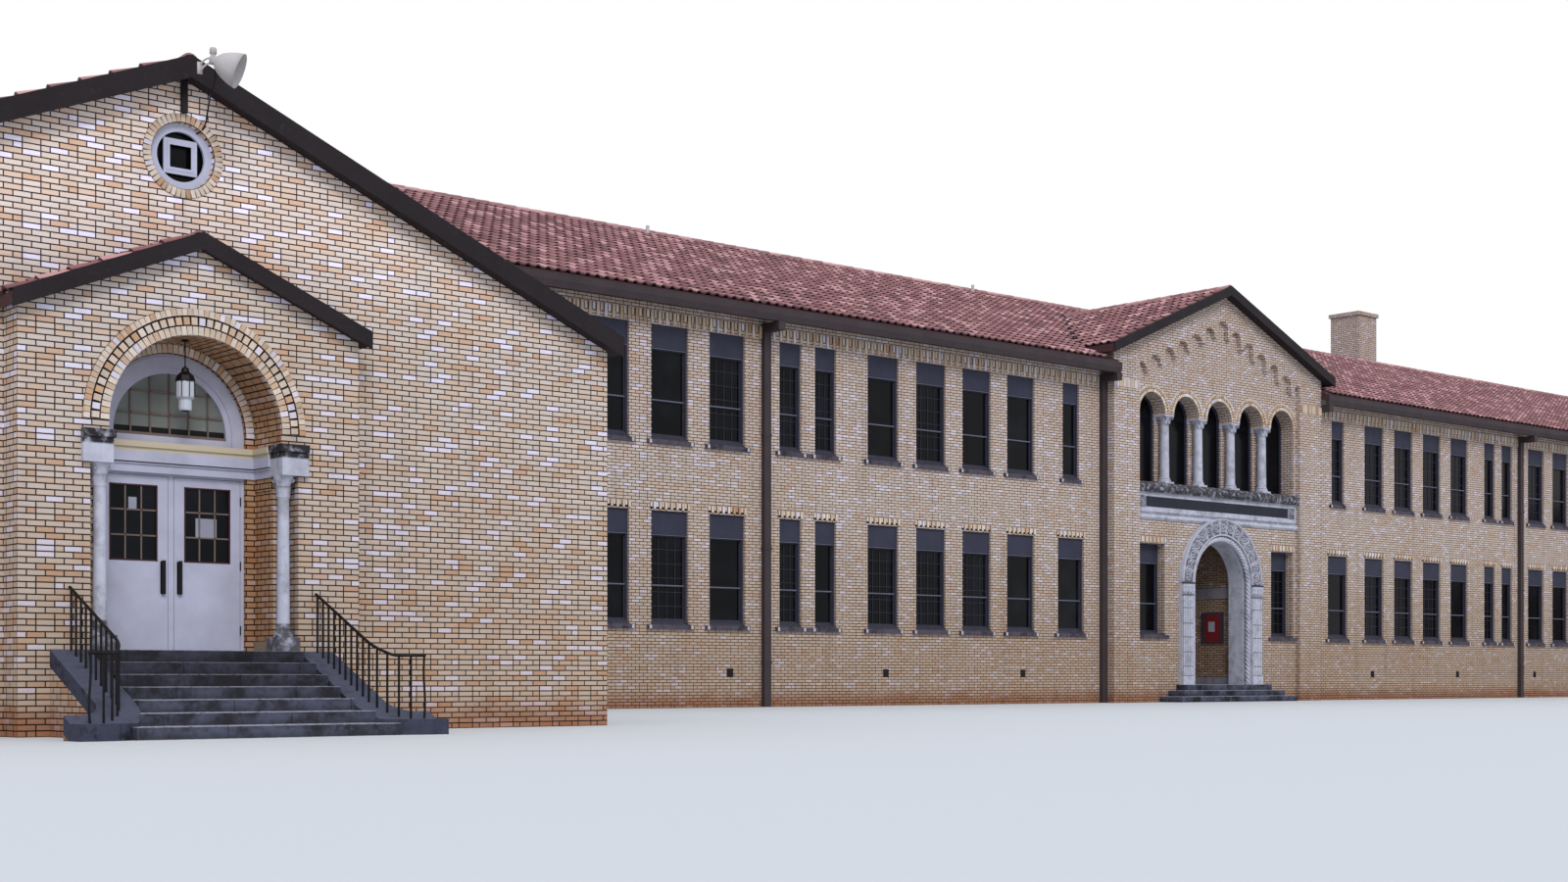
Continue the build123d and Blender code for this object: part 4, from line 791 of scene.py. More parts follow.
def box_corners(x, y, z):
    """Eight corners of a box between two values of each axis."""
    return [(x[i], y[j], z[k]) for k in (0, 1) for i, j in ((0, 0), (1, 0), (1, 1), (0, 1))]


def boxes_piece(name, boxes, material, body="building"):
    """One piece made of many boxes, each given as (x0, x1), (y0, y1), (z0, z1)."""
    vertices = []
    faces = []
    for x, y, z in boxes:
        start = len(vertices)
        vertices += box_corners(sorted(x), sorted(y), sorted(z))
        faces += [tuple(start + i for i in face) for face in BOX_FACES]
    return mesh_piece(name, vertices, faces, material, body)


def lathe(profile, centre, steps=24):
    """Vertices and faces of a profile of (radius, height) turned about an upright axis."""
    vertices = []
    faces = []
    for i in range(steps):
        turn = 2 * math.pi * i / steps
        for radius, height in profile:
            vertices.append(
                (centre[0] + radius * math.cos(turn), centre[1] + radius * math.sin(turn), height)
            )
    count = len(profile)
    for i in range(steps):
        here = i * count
        there = ((i + 1) % steps) * count
        for j in range(count - 1):
            faces.append((here + j, there + j, there + j + 1, here + j + 1))
    return vertices, faces


def join_parts(parts):
    """Vertices and faces of several parts together."""
    vertices = []
    faces = []
    for part_vertices, part_faces in parts:
        start = len(vertices)
        vertices += list(part_vertices)
        faces += [tuple(start + i for i in face) for face in part_faces]
    return vertices, faces


def arch_band(x, z, inner, outer, front, back, low=0.0, high=math.pi, steps=28):
    """Vertices and faces of a flat ring or half ring in a wall's elevation."""
    vertices = []
    faces = []
    for i in range(steps + 1):
        angle = low + (high - low) * i / steps
        for radius in (inner, outer):
            for y in (front, back):
                vertices.append((x + radius * math.cos(angle), y, z + radius * math.sin(angle)))
    for i in range(steps):
        a = 4 * i
        b = a + 4
        faces += [(a, a + 2, b + 2, b), (a + 1, b + 1, b + 3, a + 3)]
        faces += [(a, b, b + 1, a + 1), (a + 2, a + 3, b + 3, b + 2)]
    end = 4 * steps
    faces += [(0, 1, 3, 2), (end, end + 2, end + 3, end + 1)]
    return vertices, faces


def tube(path, radius, steps=8):
    """Vertices and faces of a round bar along a path of points."""
    vertices = []
    faces = []
    for i, point in enumerate(path):
        ahead = Vector(path[min(i + 1, len(path) - 1)]) - Vector(path[max(i - 1, 0)])
        ahead.normalize()
        side = ahead.cross(Vector((0, 0, 1)) if abs(ahead.z) < 0.9 else Vector((1, 0, 0))).normalized()
        up = side.cross(ahead)
        for j in range(steps):
            turn = 2 * math.pi * j / steps
            vertices.append(Vector(point) + radius * (math.cos(turn) * side + math.sin(turn) * up))
    for i in range(len(path) - 1):
        for j in range(steps):
            k = (j + 1) % steps
            faces.append((i * steps + j, (i + 1) * steps + j, (i + 1) * steps + k, i * steps + k))
    faces.append(tuple(range(steps)))
    faces.append(tuple(reversed(range((len(path) - 1) * steps, len(path) * steps))))
    return vertices, faces


def build_laying(name):
    """Geometry nodes that lay one piece on every point, with its turn, size and random shade."""
    tree, given, out = new_group(
        name,
        "GeometryNodeTree",
        [
            ("Geometry", "NodeSocketGeometry", None),
            ("Piece", "NodeSocketObject", None),
            ("Seed", "NodeSocketInt", 1),
            ("Material", "NodeSocketMaterial", None),
        ],
        [("Geometry", "NodeSocketGeometry")],
    )
    tree.tree.is_modifier = True
    info = tree.add("GeometryNodeObjectInfo")
    tree.put(info.inputs["Object"], given.outputs["Piece"])
    turn = tree.add("GeometryNodeInputNamedAttribute", "turn", data_type="FLOAT_VECTOR")
    size = tree.add("GeometryNodeInputNamedAttribute", "size", data_type="FLOAT_VECTOR")
    laid = tree.add("GeometryNodeInstanceOnPoints")
    tree.put(laid.inputs["Points"], given.outputs["Geometry"])
    tree.put(laid.inputs["Instance"], info.outputs["Geometry"])
    tree.put(laid.inputs["Rotation"], turn.outputs["Attribute"])
    tree.put(laid.inputs["Scale"], size.outputs["Attribute"])
    chance = tree.add("FunctionNodeRandomValue", data_type="FLOAT")
    tree.put(chance.inputs["Seed"], given.outputs["Seed"])
    store = tree.add("GeometryNodeStoreNamedAttribute", data_type="FLOAT", domain="INSTANCE")
    tree.put(store.inputs["Geometry"], laid.outputs["Instances"])
    tree.put(store.inputs["Name"], "shade")
    tree.put(store.inputs["Value"], chance.outputs[1])
    real = tree.add("GeometryNodeRealizeInstances", store.outputs["Geometry"])
    painted = tree.add("GeometryNodeSetMaterial")
    tree.put(painted.inputs["Geometry"], real.outputs["Geometry"])
    tree.put(painted.inputs["Material"], given.outputs["Material"])
    tree.put(out.inputs["Geometry"], painted.outputs["Geometry"])
    return tree.tree


def laid_piece(name, vertices, faces, points, turns, sizes, material, seed, crown=None):
    """Lay one shape on many points and keep the result as a plain mesh; crown is how high it rolls, which
    the tile material turns into painted shade and highlight.
    """
    shape = bpy.data.meshes.new(name + "_shape")
    shape.from_pydata([tuple(v) for v in vertices], [], [tuple(f) for f in faces])
    if crown is not None:
        shape.attributes.new("crown", "FLOAT", "POINT").data.foreach_set("value", crown)
    shape_object = bpy.data.objects.new(name + "_shape", shape)
    places = bpy.data.meshes.new(name + "_points")
    places.from_pydata([tuple(p) for p in points], [], [])
    for label, values in (("turn", turns), ("size", sizes)):
        data = np.broadcast_to(np.asarray(values, dtype=np.float32), (len(points), 3))
        attribute = places.attributes.new(label, "FLOAT_VECTOR", "POINT")
        attribute.data.foreach_set("vector", np.ascontiguousarray(data).ravel())
    holder = bpy.data.objects.new(name + "_points", places)
    for part in (shape_object, holder):
        bpy.context.scene.collection.objects.link(part)
    modifier = holder.modifiers.new("Lay", "NODES")
    modifier.node_group = group_named("Lay pieces", build_laying)
    settings = {"Piece": shape_object, "Seed": seed, "Material": material_named(material)}
    for item in modifier.node_group.interface.items_tree:
        if item.in_out == "INPUT" and item.name in settings:
            modifier[item.identifier] = settings[item.name]
    graph = bpy.context.evaluated_depsgraph_get()
    mesh = bpy.data.meshes.new_from_object(holder.evaluated_get(graph))
    mesh.name = name
    holder.modifiers.remove(modifier)
    for part in (shape_object, holder):
        data = part.data
        bpy.data.objects.remove(part)
        bpy.data.meshes.remove(data)
    return link_piece(name, mesh, material)


UNIT_BOX = [
    (x * 0.5, y * 0.5, z * 0.5) for z in (-1, 1) for x, y in ((-1, -1), (1, -1), (1, 1), (-1, 1))
]


class Pile:
    """Boxes gathered by material, then made into one piece for each material."""

    def __init__(self):
        self.boxes = {}

    def box(self, material, x, y, z):
        """Add a box between two values of each axis."""
        self.boxes.setdefault(material, []).append((x, y, z))

    def finish(self, name, body="building"):
        """Make the pieces, each named after its material."""
        for material, boxes in self.boxes.items():
            boxes_piece(name + "_" + material.lower().replace(" ", "_"), boxes, material, body)


# How far laid pieces reach into their wall, and how far their mortar stands before it
BEDDED = 0.001
JOINT_DEPTH = 0.0003


def proud(face, depth):
    """Front and back of a piece that stands before a face and is bedded in it."""
    return face - depth, face + BEDDED


class Courses:
    """Single bricks or stones, laid one by one and made into one piece at the end."""

    def __init__(self):
        self.points = []
        self.turns = []
        self.sizes = []

    def lay(self, x, y, z, length, depth, height, turn=0.0):
        """Add one brick at its middle, turned in the wall's elevation."""
        self.points.append((x, y, z))
        self.turns.append((0.0, turn, 0.0))
        self.sizes.append((length, depth, height))

    def ring(self, x, z, radius, thick, face, depth, span, count, gap=0.0010):
        """Wedges round an arch; depth is how far they stand before the face."""
        low, high = span
        middle = radius + thick / 2
        for i in range(count):
            angle = low + (high - low) * (i + 0.5) / count
            self.lay(
                x + middle * math.cos(angle),
                face - depth / 2 + BEDDED,
                z + middle * math.sin(angle),
                thick - 0.0006,
                depth + 2 * BEDDED,
                (high - low) * middle / count - gap,
                -angle,
            )

    def row(self, x0, x1, pitch, face, depth, z, gap, step=0.0, drop=0.0):
        """Upright bricks side by side; every second one is lower and stands forward by the step."""
        count = max(1, round((x1 - x0) / pitch))
        for i in range(count):
            out = depth + step * (i % 2)
            low = z[0] + drop * (i % 2)
            width = (x1 - x0) / count - gap
            x = x0 + (i + 0.5) * (x1 - x0) / count
            self.lay(x, face - out / 2 + BEDDED, (low + z[1]) / 2, width, out + 2 * BEDDED, z[1] - low)

    def finish(self, name, material, seed):
        """Make the piece from all the bricks."""
        laid_piece(name, UNIT_BOX, BOX_FACES, self.points, self.turns, self.sizes, material, seed)


# Windows of the front and the back, as in the solids


def window_places(first, with_pairs, rooms, end):
    """Middle and width of one half's windows."""
    places = [first]
    for room in range(rooms):
        start = ROOM_START + room * ROOM_PITCH
        places += [(start + i * WINDOW_PITCH, WIDE) for i in range(4)]
        if with_pairs:
            places += [(start + 0.6785, NARROW), (start + 0.7885, NARROW)]
    return [place for place in places if place[0] + place[1] / 2 < end]


def both_sides(places):
    """The same places on the left and the right."""
    return [(side * x, width) for x, width in places for side in (-1, 1)]


FRONT_LOWER = both_sides(window_places((FIRST_X, WIDE), True, 3, 2.870))
FRONT_UPPER = both_sides(window_places((FIRST_X, FIRST_UPPER), True, 3, 2.870))
BACK_WINDOWS = both_sides(window_places((FIRST_X, WIDE), False, 4, 4.202))
BACK_WINDOWS += [((i - 1.5) * WINDOW_PITCH, WIDE) for i in range(4)]
HALL_WINDOW_Y = [-HALL_WALL_DEPTH / 2 + (i - 1.5) * HALL_WINDOW_PITCH for i in range(4)]
VENT_PLACES = [0.798 + i * ROOM_PITCH / 2 for i in range(3)]


def sash(pile, put, x, width, sill, head, face, inward, divided):
    """Rails, stiles, bars and pane of a sash window and the panel over it; put places each box."""
    low = sill + 0.005
    high = head - 0.053
    half = width / 2 - 0.005
    meet = low + (high - low) * 0.41

    def add(material, x_span, near, far, z):
        pile.box(material, *put(x_span, (face + inward * near, face + inward * far), z))

    across = (x - half, x + half)
    add("Head panel", (x - half - 0.003, x + half + 0.003), 0.0050, 0.0080, (high + 0.0022, head - 0.001))
    add("Lip", (x - half - 0.003, x + half + 0.003), 0.0044, 0.0080, (high - 0.0004, high + 0.0010))
    add("Lip", across, 0.0088, 0.0140, (meet - 0.0009, meet + 0.0013))
    add("Window paint", across, 0.0094, 0.0140, (meet - 0.0024, meet - 0.0009))
    add("Window paint", across, 0.0100, 0.0140, (low, low + 0.0036))
    add("Window paint", across, 0.0108, 0.0140, (high - 0.003, high - 0.0004))
    for side in (-1, 1):
        add("Window paint", (x + side * half, x + side * (half - 0.0026)), 0.0104, 0.0140, (low, high))
    if divided:
        count = 4 if width > 0.08 else 3
        for i in range(1, count):
            middle = x - half + 2 * half * i / count
            add("Window paint", (middle - 0.0005, middle + 0.0005), 0.0122, 0.0140, (low, high))
        for i in range(1, 6):
            z = low + (high - low) * i / 6
            add("Window paint", across, 0.0122, 0.0140, (z - 0.0005, z + 0.0005))
    add("Glass", across, 0.0138, 0.0146, (low, high))


class SCHOOL_OT_walls(bpy.types.Operator):
    """Brick finish of the walls and stone finish of the carved parts."""

    bl_idname = "school.walls"
    bl_label = "Walls"

    def execute(self, context):
        finish_nodes(
            "Brick wall warm", "front_walls", "back_wall", "end_walls", "chimney", "pavilion_piers",
            "pavilion_lower_wall", "portal_spandrel", "arcade_piers", "arcade_arches", "pavilion_gable",
        )
        finish_nodes("Inner brick", "vestibule_walls")
        finish_nodes(
            "Brick wall", "hall_front_walls", "hall_side_walls", "hall_gables", "porch_piers",
            "porch_arches", "step_cheeks",
        )
        finish_nodes("Stone", "portal_surround", "portal_ropes", "arcade_columns")
        finish_nodes("Band stone", "name_band")
        finish_nodes("Sill stone", "window_sills")
        finish_nodes("Entablature", "entablatures")
        finish_nodes("Stairs", "entrance_steps")
        finish_nodes("Portal stairs", "portal_steps")
        finish_nodes("Coping", "cheek_copings")
        finish_nodes("Concrete", "ground_floors", "upper_floor")
        return {"FINISHED"}


class SCHOOL_OT_roof(bpy.types.Operator):
    """Clay tiles on every slope, ridge tiles, boards and gutters."""

    bl_idname = "school.roof"
    bl_label = "Roof"

    def execute(self, context):
        settings = context.scene.school_roof
        finish_nodes("Tile", "main_roof", "pavilion_roof", "wing_roofs", "ridge_tiles")
        finish_nodes("Rake board", "rake_boards")
        finish_nodes("Gutter", "gutters", "downspouts")
        finish_nodes("White paint", "roof_vents")
        width = settings.tile_width
        course = settings.tile_course
        shape = tile_shape(width, course * 1.12, settings.roll, 0.0026)
        valley = PAVILION_RIDGE - RIDGE_Z + RIDGE_Y * PITCH

        def on_main(x, y):
            return abs(x) > min(PAVILION_HALF + PAVILION_EAVE, valley / PITCH - y + 0.012) + 0.010

        def on_pavilion(x, y):
            return y < valley / PITCH - abs(x) - 0.004

        edge = BLOCK_HALF + VERGE - 0.001
        slopes = [
            ("tiles_front", 0, (0, RIDGE_Y, RIDGE_Z), (-edge, edge), RIDGE_Y + EAVE, on_main),
            ("tiles_back", 180, (0, RIDGE_Y, RIDGE_Z), (-edge, edge), RIDGE_Y + EAVE, None),
        ]
        for side in (-1, 1):
            top = (0, 0, PAVILION_RIDGE)
            span = (PIER_FRONT - 0.025, RIDGE_Y)
            slopes.append(("tiles_pavilion_%d" % (side + 2), side * 90, top, span, 0.506, on_pavilion))
        for hall in (-1, 1):
            for side in (-1, 1):
                top = (hall * HALL_X, 0, HALL_APEX + HALL_ROOF)
                label = "%d_%d" % (hall + 2, side + 2)
                span = (HALL_FRONT - HALL_VERGE, 0.0)
                slopes.append(("tiles_hall_" + label, side * 90, top, span, HALL_HALF + HALL_EAVE, None))
                top = (hall * HALL_X, 0, PORCH_APEX + PORCH_ROOF)
                span = (PORCH_FRONT - PORCH_VERGE, HALL_FRONT)
                slopes.append(("tiles_porch_" + label, side * 90, top, span, PORCH_HALF + 0.010, None))
        for seed, (name, turn, top, span, reach, keep) in enumerate(slopes):
            points = slope_points(turn, top, span, reach, width, course, keep)
            turns = (SLOPE - 0.045, 0.0, math.radians(turn))
            laid_piece(name, *shape[:2], points, turns, (1, 1, 1), "Tile", seed + 3, crown=shape[2])
        ridges = [
            ("x", (0, RIDGE_Y, RIDGE_Z), (0.003 - edge, edge - 0.001)),
            ("y", (0, 0, PAVILION_RIDGE), (PIER_FRONT - 0.025, valley / PITCH)),
        ]
        for apex, span in (
            (HALL_APEX + HALL_ROOF, (HALL_FRONT - HALL_VERGE, 0.0)),
            (PORCH_APEX + PORCH_ROOF, (PORCH_FRONT - PORCH_VERGE, HALL_FRONT)),
        ):
            ridges += [("y", (hall * HALL_X, 0, apex), span) for hall in (-1, 1)]
        points = []
        turns = []
        pitch = 0.040
        for axis, top, span in ridges:
            count = max(1, round((span[1] - span[0]) / pitch))
            for i in range(count):
                along = span[0] + (i + 0.5) * (span[1] - span[0]) / count
                z = top[2] - 0.0045
                points.append((along, top[1], z) if axis == "x" else (top[0], along, z))
                turns.append((0.0, 0.0, math.radians(90) if axis == "x" else 0.0))
        vertices, faces = ridge_shape(pitch, 0.0118)
        # A high crown value gives the ridge tiles a painted highlight.
        crown = [0.8] * len(vertices)
        ridge = laid_piece(
            "ridge_caps", vertices, faces, points, turns, (1, 1, 1), "Tile", 31, crown=crown
        )
        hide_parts("ridge_tiles")
        parts = []
        meet = valley / PITCH
        for side in (-1, 1):
            for shift in ((side * 0.013, 0.0), (0.0, -0.013)):
                line = []
                for reach in (0.012, 0.500):
                    z = PAVILION_RIDGE - PITCH * reach + 0.0024
                    line.append((side * reach, meet - reach, z - 0.0016))
                    line.append((side * reach + shift[0], meet - reach + shift[1], z))
                parts.append((line, [(0, 1, 3, 2) if side * (1 if shift[0] else -1) > 0 else (0, 2, 3, 1)]))
        mesh_piece("valley_flashing", *join_parts(parts), "Flashing")
        return {"FINISHED"}


def tile_shape(width, length, roll, thickness):
    """Barrel tile with its roll along local Y, its lower edge at the front, and how high it rolls, halved
    at the covered upper end and nought underneath for painted shade.
    """
    steps = 6
    vertices = []
    crown = []
    for y, lift in ((-length / 2, thickness), (length / 2, 0.0)):
        for i in range(steps + 1):
            across = i / steps
            rise = max(0.0, math.sin(math.pi * min(1.0, across / 0.66)))
            vertices.append(((across - 0.5) * width, y, roll * rise + lift))
            # The covered upper end gets half the value and the underside none: painted shade there.
            crown.append(rise if lift else rise * 0.5)
    for i in range(steps + 1):
        x, y, z = vertices[i]
        vertices.append((x, y + 0.0004, z - thickness * 1.6))
        crown.append(0.0)
    row = steps + 1
    faces = [(i, i + 1, row + i + 1, row + i) for i in range(steps)]
    faces += [(2 * row + i, 2 * row + i + 1, i + 1, i) for i in range(steps)]
    return vertices, faces, crown


def ridge_shape(pitch, radius):
    """Half-round ridge tile along local Y, a little wider at its front."""
    steps = 8
    vertices = []
    for y, grow in ((-pitch / 2, 1.0), (pitch / 2 + 0.002, 0.88)):
        for i in range(steps + 1):
            turn = math.pi * i / steps
            vertices.append((radius * grow * math.cos(turn), y, radius * grow * math.sin(turn)))
    for i in range(steps + 1):
        turn = math.pi * i / steps
        vertices.append((radius * 0.8 * math.cos(turn), -pitch / 2, radius * 0.8 * math.sin(turn)))
    row = steps + 1
    faces = [(i, row + i, row + i + 1, i + 1) for i in range(steps)]
    faces += [(2 * row + i, i, i + 1, 2 * row + i + 1) for i in range(steps)]
    return vertices, faces


def slope_points(turn, top, span, reach, width, course, keep):
    """Points of the tiles on a slope that falls from a ridge; turn is the way the slope faces."""
    columns = int((span[1] - span[0]) / width)
    across = span[0] + ((np.arange(columns) + 0.5) * (span[1] - span[0]) / columns)
    rows = int(reach / math.cos(SLOPE) / course)
    fall = reach - (np.arange(rows) + 0.5) * course * math.cos(SLOPE) - 0.001
    grid_across, grid_fall = np.meshgrid(across, fall)
    grid_across = grid_across.ravel()
    grid_fall = grid_fall.ravel()
    height = top[2] - PITCH * grid_fall + 0.0006
    angle = math.radians(turn)
    if turn in (0, 180):
        x = top[0] + grid_across
        y = top[1] - math.cos(angle) * grid_fall
    else:
        x = top[0] + math.sin(angle) * grid_fall
        y = top[1] + grid_across
    points = np.column_stack([x, y, height])
    if keep is not None:
        points = np.array([p for p in points if keep(p[0], p[1])])
    return points


class SCHOOL_OT_windows(bpy.types.Operator):
    """Sashes, bars, panes, head panels, vent plates that stand for grilles with painted shade behind them,
    and sill ends.
    """

    bl_idname = "school.windows"
    bl_label = "Windows"

    def execute(self, context):
        finish_nodes("Window paint", "window_frames", "arcade_frames")
        finish_nodes("Glass", "window_glass", "arcade_glass", "round_panes", "fixed_door_panes")
        finish_nodes("Glass", "left_door_glass", "right_door_glass")
        discs = []
        for hall in (-1, 1):
            x = hall * HALL_X
            face = HALL_FRONT + 0.006
            discs.append(arch_band(x, OCULUS_Z, 0.0302, 0.0398, face, face + 0.004, 0, 2 * math.pi, 48))
            for outer, front in ((0.0212, face + 0.0012), (0.0172, face + 0.0006)):
                for a, b, c, d in (
                    (-outer, outer, 0.0135, outer), (-outer, outer, -outer, -0.0135),
                    (-outer, -0.0135, -0.0135, 0.0135), (0.0135, outer, -0.0135, 0.0135),
                ):
                    z = (OCULUS_Z + c, OCULUS_Z + d)
                    discs.append((box_corners((x + a, x + b), (front, face + 0.004), z), BOX_FACES))
        disc = mesh_piece("oculus_discs", *join_parts(discs), "Door paint")
        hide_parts("oculus_frames")
        chance = np.random.default_rng(5)
        front = Pile()
        back = Pile()
        sides = Pile()

        def along_x(x, y, z):
            return x, y, z

        def along_y(x, y, z):
            return y, x, z

        rows = [
            (front, FRONT_LOWER, 0.0, 1, LOWER),
            (front, FRONT_UPPER, 0.0, 1, UPPER),
            (front, both_sides([PAVILION_WINDOW]), -0.001, 1, LOWER),
            (back, BACK_WINDOWS, BLOCK_DEPTH, -1, LOWER),
            (back, BACK_WINDOWS, BLOCK_DEPTH, -1, UPPER),
        ]
        for pile, places, face, inward, (sill, head) in rows:
            for x, width in places:
                divided = chance.random() < 0.45
                sash(pile, along_x, x, width, sill, head, face, inward, divided)
        for hall in (-1, 1):
            for edge in (-1, 1):
                face = hall * HALL_X + edge * HALL_HALF
                for y in HALL_WINDOW_Y:
                    sash(sides, along_y, y, WIDE, *LOWER, face, -edge, True)
        for places, top in ((FRONT_LOWER, LOWER[0]), (FRONT_UPPER, UPPER[0])):
            for x, width in places:
                for side in (-1, 1):
                    near = x + side * (width / 2 + 0.0035)
                    ends = (near, near + side * 0.006)
                    front.box("White paint", ends, (-0.0066, -0.003), (top - 0.014, top - 0.006))
        for side in (-1, 1):
            # A dark iron plate fills each vent: its grille together with the painted shade of the hole
            # behind it.
            for x in VENT_PLACES:
                middle = side * x
                front.box("Iron", (middle - 0.0098, middle + 0.0098), (0.0012, 0.0118), (0.0682, 0.0878))
        front.finish("front_windows")
        back.finish("back_windows")
        sides.finish("hall_windows")
        return {"FINISHED"}


class SCHOOL_OT_brickwork(bpy.types.Operator):
    """Rings, dentils and friezes laid in single bricks."""

    bl_idname = "school.brickwork"
    bl_label = "Brickwork"

    def execute(self, context):
        half_turn = (0.0, math.pi)
        whole_turn = (0.0, 2 * math.pi)
        pale = Courses()
        warm = Courses()
        beds = []
        strips = Pile()
        for hall in (-1, 1):
            x = hall * HALL_X
            inner = ARCH_RADIUS + 0.0002
            beds.append(arch_band(x, ARCH_SPRING, inner + 0.0002, 0.1405, *proud(PORCH_FRONT, JOINT_DEPTH)))
            pale.ring(x, ARCH_SPRING, inner, 0.0108, PORCH_FRONT, 0.0016, half_turn, 50)
            pale.ring(x, ARCH_SPRING, inner + 0.0120, 0.0094, PORCH_FRONT, 0.0016, half_turn, 40, 0.0026)
            pale.ring(x, ARCH_SPRING, inner + 0.0230, 0.0085, PORCH_FRONT, 0.0018, half_turn, 62, 0.0008)
            around = proud(HALL_FRONT, JOINT_DEPTH)
            beds.append(arch_band(x, OCULUS_Z, OCULUS_RADIUS, 0.0508, *around, *whole_turn, 48))
            pale.ring(x, OCULUS_Z, OCULUS_RADIUS + 0.0004, 0.0104, HALL_FRONT, 0.0014, whole_turn, 46)
            beds.append(arch_band(x, ARCH_SPRING, 0.0956, 0.1078, *proud(RECESS_BACK, 0.0002)))
            pale.ring(x, ARCH_SPRING, 0.0960, 0.0112, RECESS_BACK, 0.0010, half_turn, 46)
            recess = (NOOK_BACK, RECESS_BACK)
            for side in (-1, 1):
                near = x + side * ARCH_RADIUS
                strips.box("Mortar", (near, near - side * JOINT_DEPTH), recess, (0.2978, 0.3132))
                for i in range(6):
                    y = NOOK_BACK + 0.0038 + i * 0.0075
                    brick = (y - 0.0030, y + 0.0030)
                    strips.box("Brick wall", (near, near - side * 0.0012), brick, (0.2984, 0.3128))
                strips.box("Beige", (near, near - side * 0.0016), recess, (0.0994, 0.1120))
        for i in range(5):
            x = (i - 2) * ARCADE_PITCH
            beds.append(arch_band(x, ARCADE_SPRING, 0.0552, 0.0700, *proud(CENTRE_FRONT, JOINT_DEPTH)))
            warm.ring(x, ARCADE_SPRING, 0.0554, 0.0092, CENTRE_FRONT, 0.0014, half_turn, 26)
            warm.ring(x, ARCADE_SPRING, 0.0656, 0.0052, CENTRE_FRONT, 0.0016, half_turn, 26, 0.0034)
            warm.ring(x, ARCADE_SPRING, 0.0712, 0.0048, CENTRE_FRONT, 0.0012, half_turn, 22)
        for places, face, outward in ((FRONT_LOWER, 0.0, 1), (BACK_WINDOWS, BLOCK_DEPTH, -1)):
            for x, width in places:
                reach = width / 2 + 0.004
                gap = (face - outward * JOINT_DEPTH, face + outward * BEDDED)
                # Backing behind the teeth over the windows: mortar darkened to painted shade.
                strips.box("Dark gap", (x - reach, x + reach), gap, BAND)
                count = 2 * round(reach / 0.0080)
                for i in range(count):
                    middle = x - reach + (i + 0.5) * 2 * reach / count
                    high = 0.0148 if i % 2 else 0.0104
                    out = 0.0026 if i % 2 else 0.0008
                    warm.lay(
                        middle, face - outward * (out / 2 - BEDDED), 0.4526 - high / 2,
                        0.0056, out + 2 * BEDDED, high,
                    )
        for x, width in both_sides([PAVILION_WINDOW]):
            reach = width / 2 + 0.004
            ends = (x - reach, x + reach)
            # Backing behind the teeth over the pavilion windows: mortar darkened to painted shade.
            strips.box("Dark gap", ends, proud(CENTRE_FRONT, JOINT_DEPTH), BAND)
            warm.row(*ends, 0.0080, CENTRE_FRONT, 0.0010, (0.4376, 0.4526), 0.0026, 0.0016)
        for side in (-1, 1):
            start = PAVILION_HALF + 0.001
            ends = sorted((side * start, side * FRIEZE_END))
            # Backings behind the frieze and the pier row: mortar darkened to painted shade.
            strips.box("Dark gap", ends, proud(0.0, JOINT_DEPTH), (0.8560, 0.8720))
            warm.row(*ends, 0.0104, 0.0, 0.0024, (0.8440, 0.8715), 0.0034, -0.0014, 0.0125)
            ends = sorted((side * 0.370, side * PAVILION_HALF))
            strips.box("Dark gap", ends, proud(PIER_FRONT, JOINT_DEPTH), (0.8462, 0.8700))
            warm.row(*ends, 0.0078, PIER_FRONT, 0.0012, (0.8468, 0.8694), 0.0016, 0.0006)
        mesh_piece("mortar_rings", *join_parts(beds), "Mortar")
        strips.finish("brick_strips")
        pale.finish("pale_bricks", "Laid brick", 11)
        warm.finish("warm_bricks", "Laid brick warm", 12)
        return {"FINISHED"}


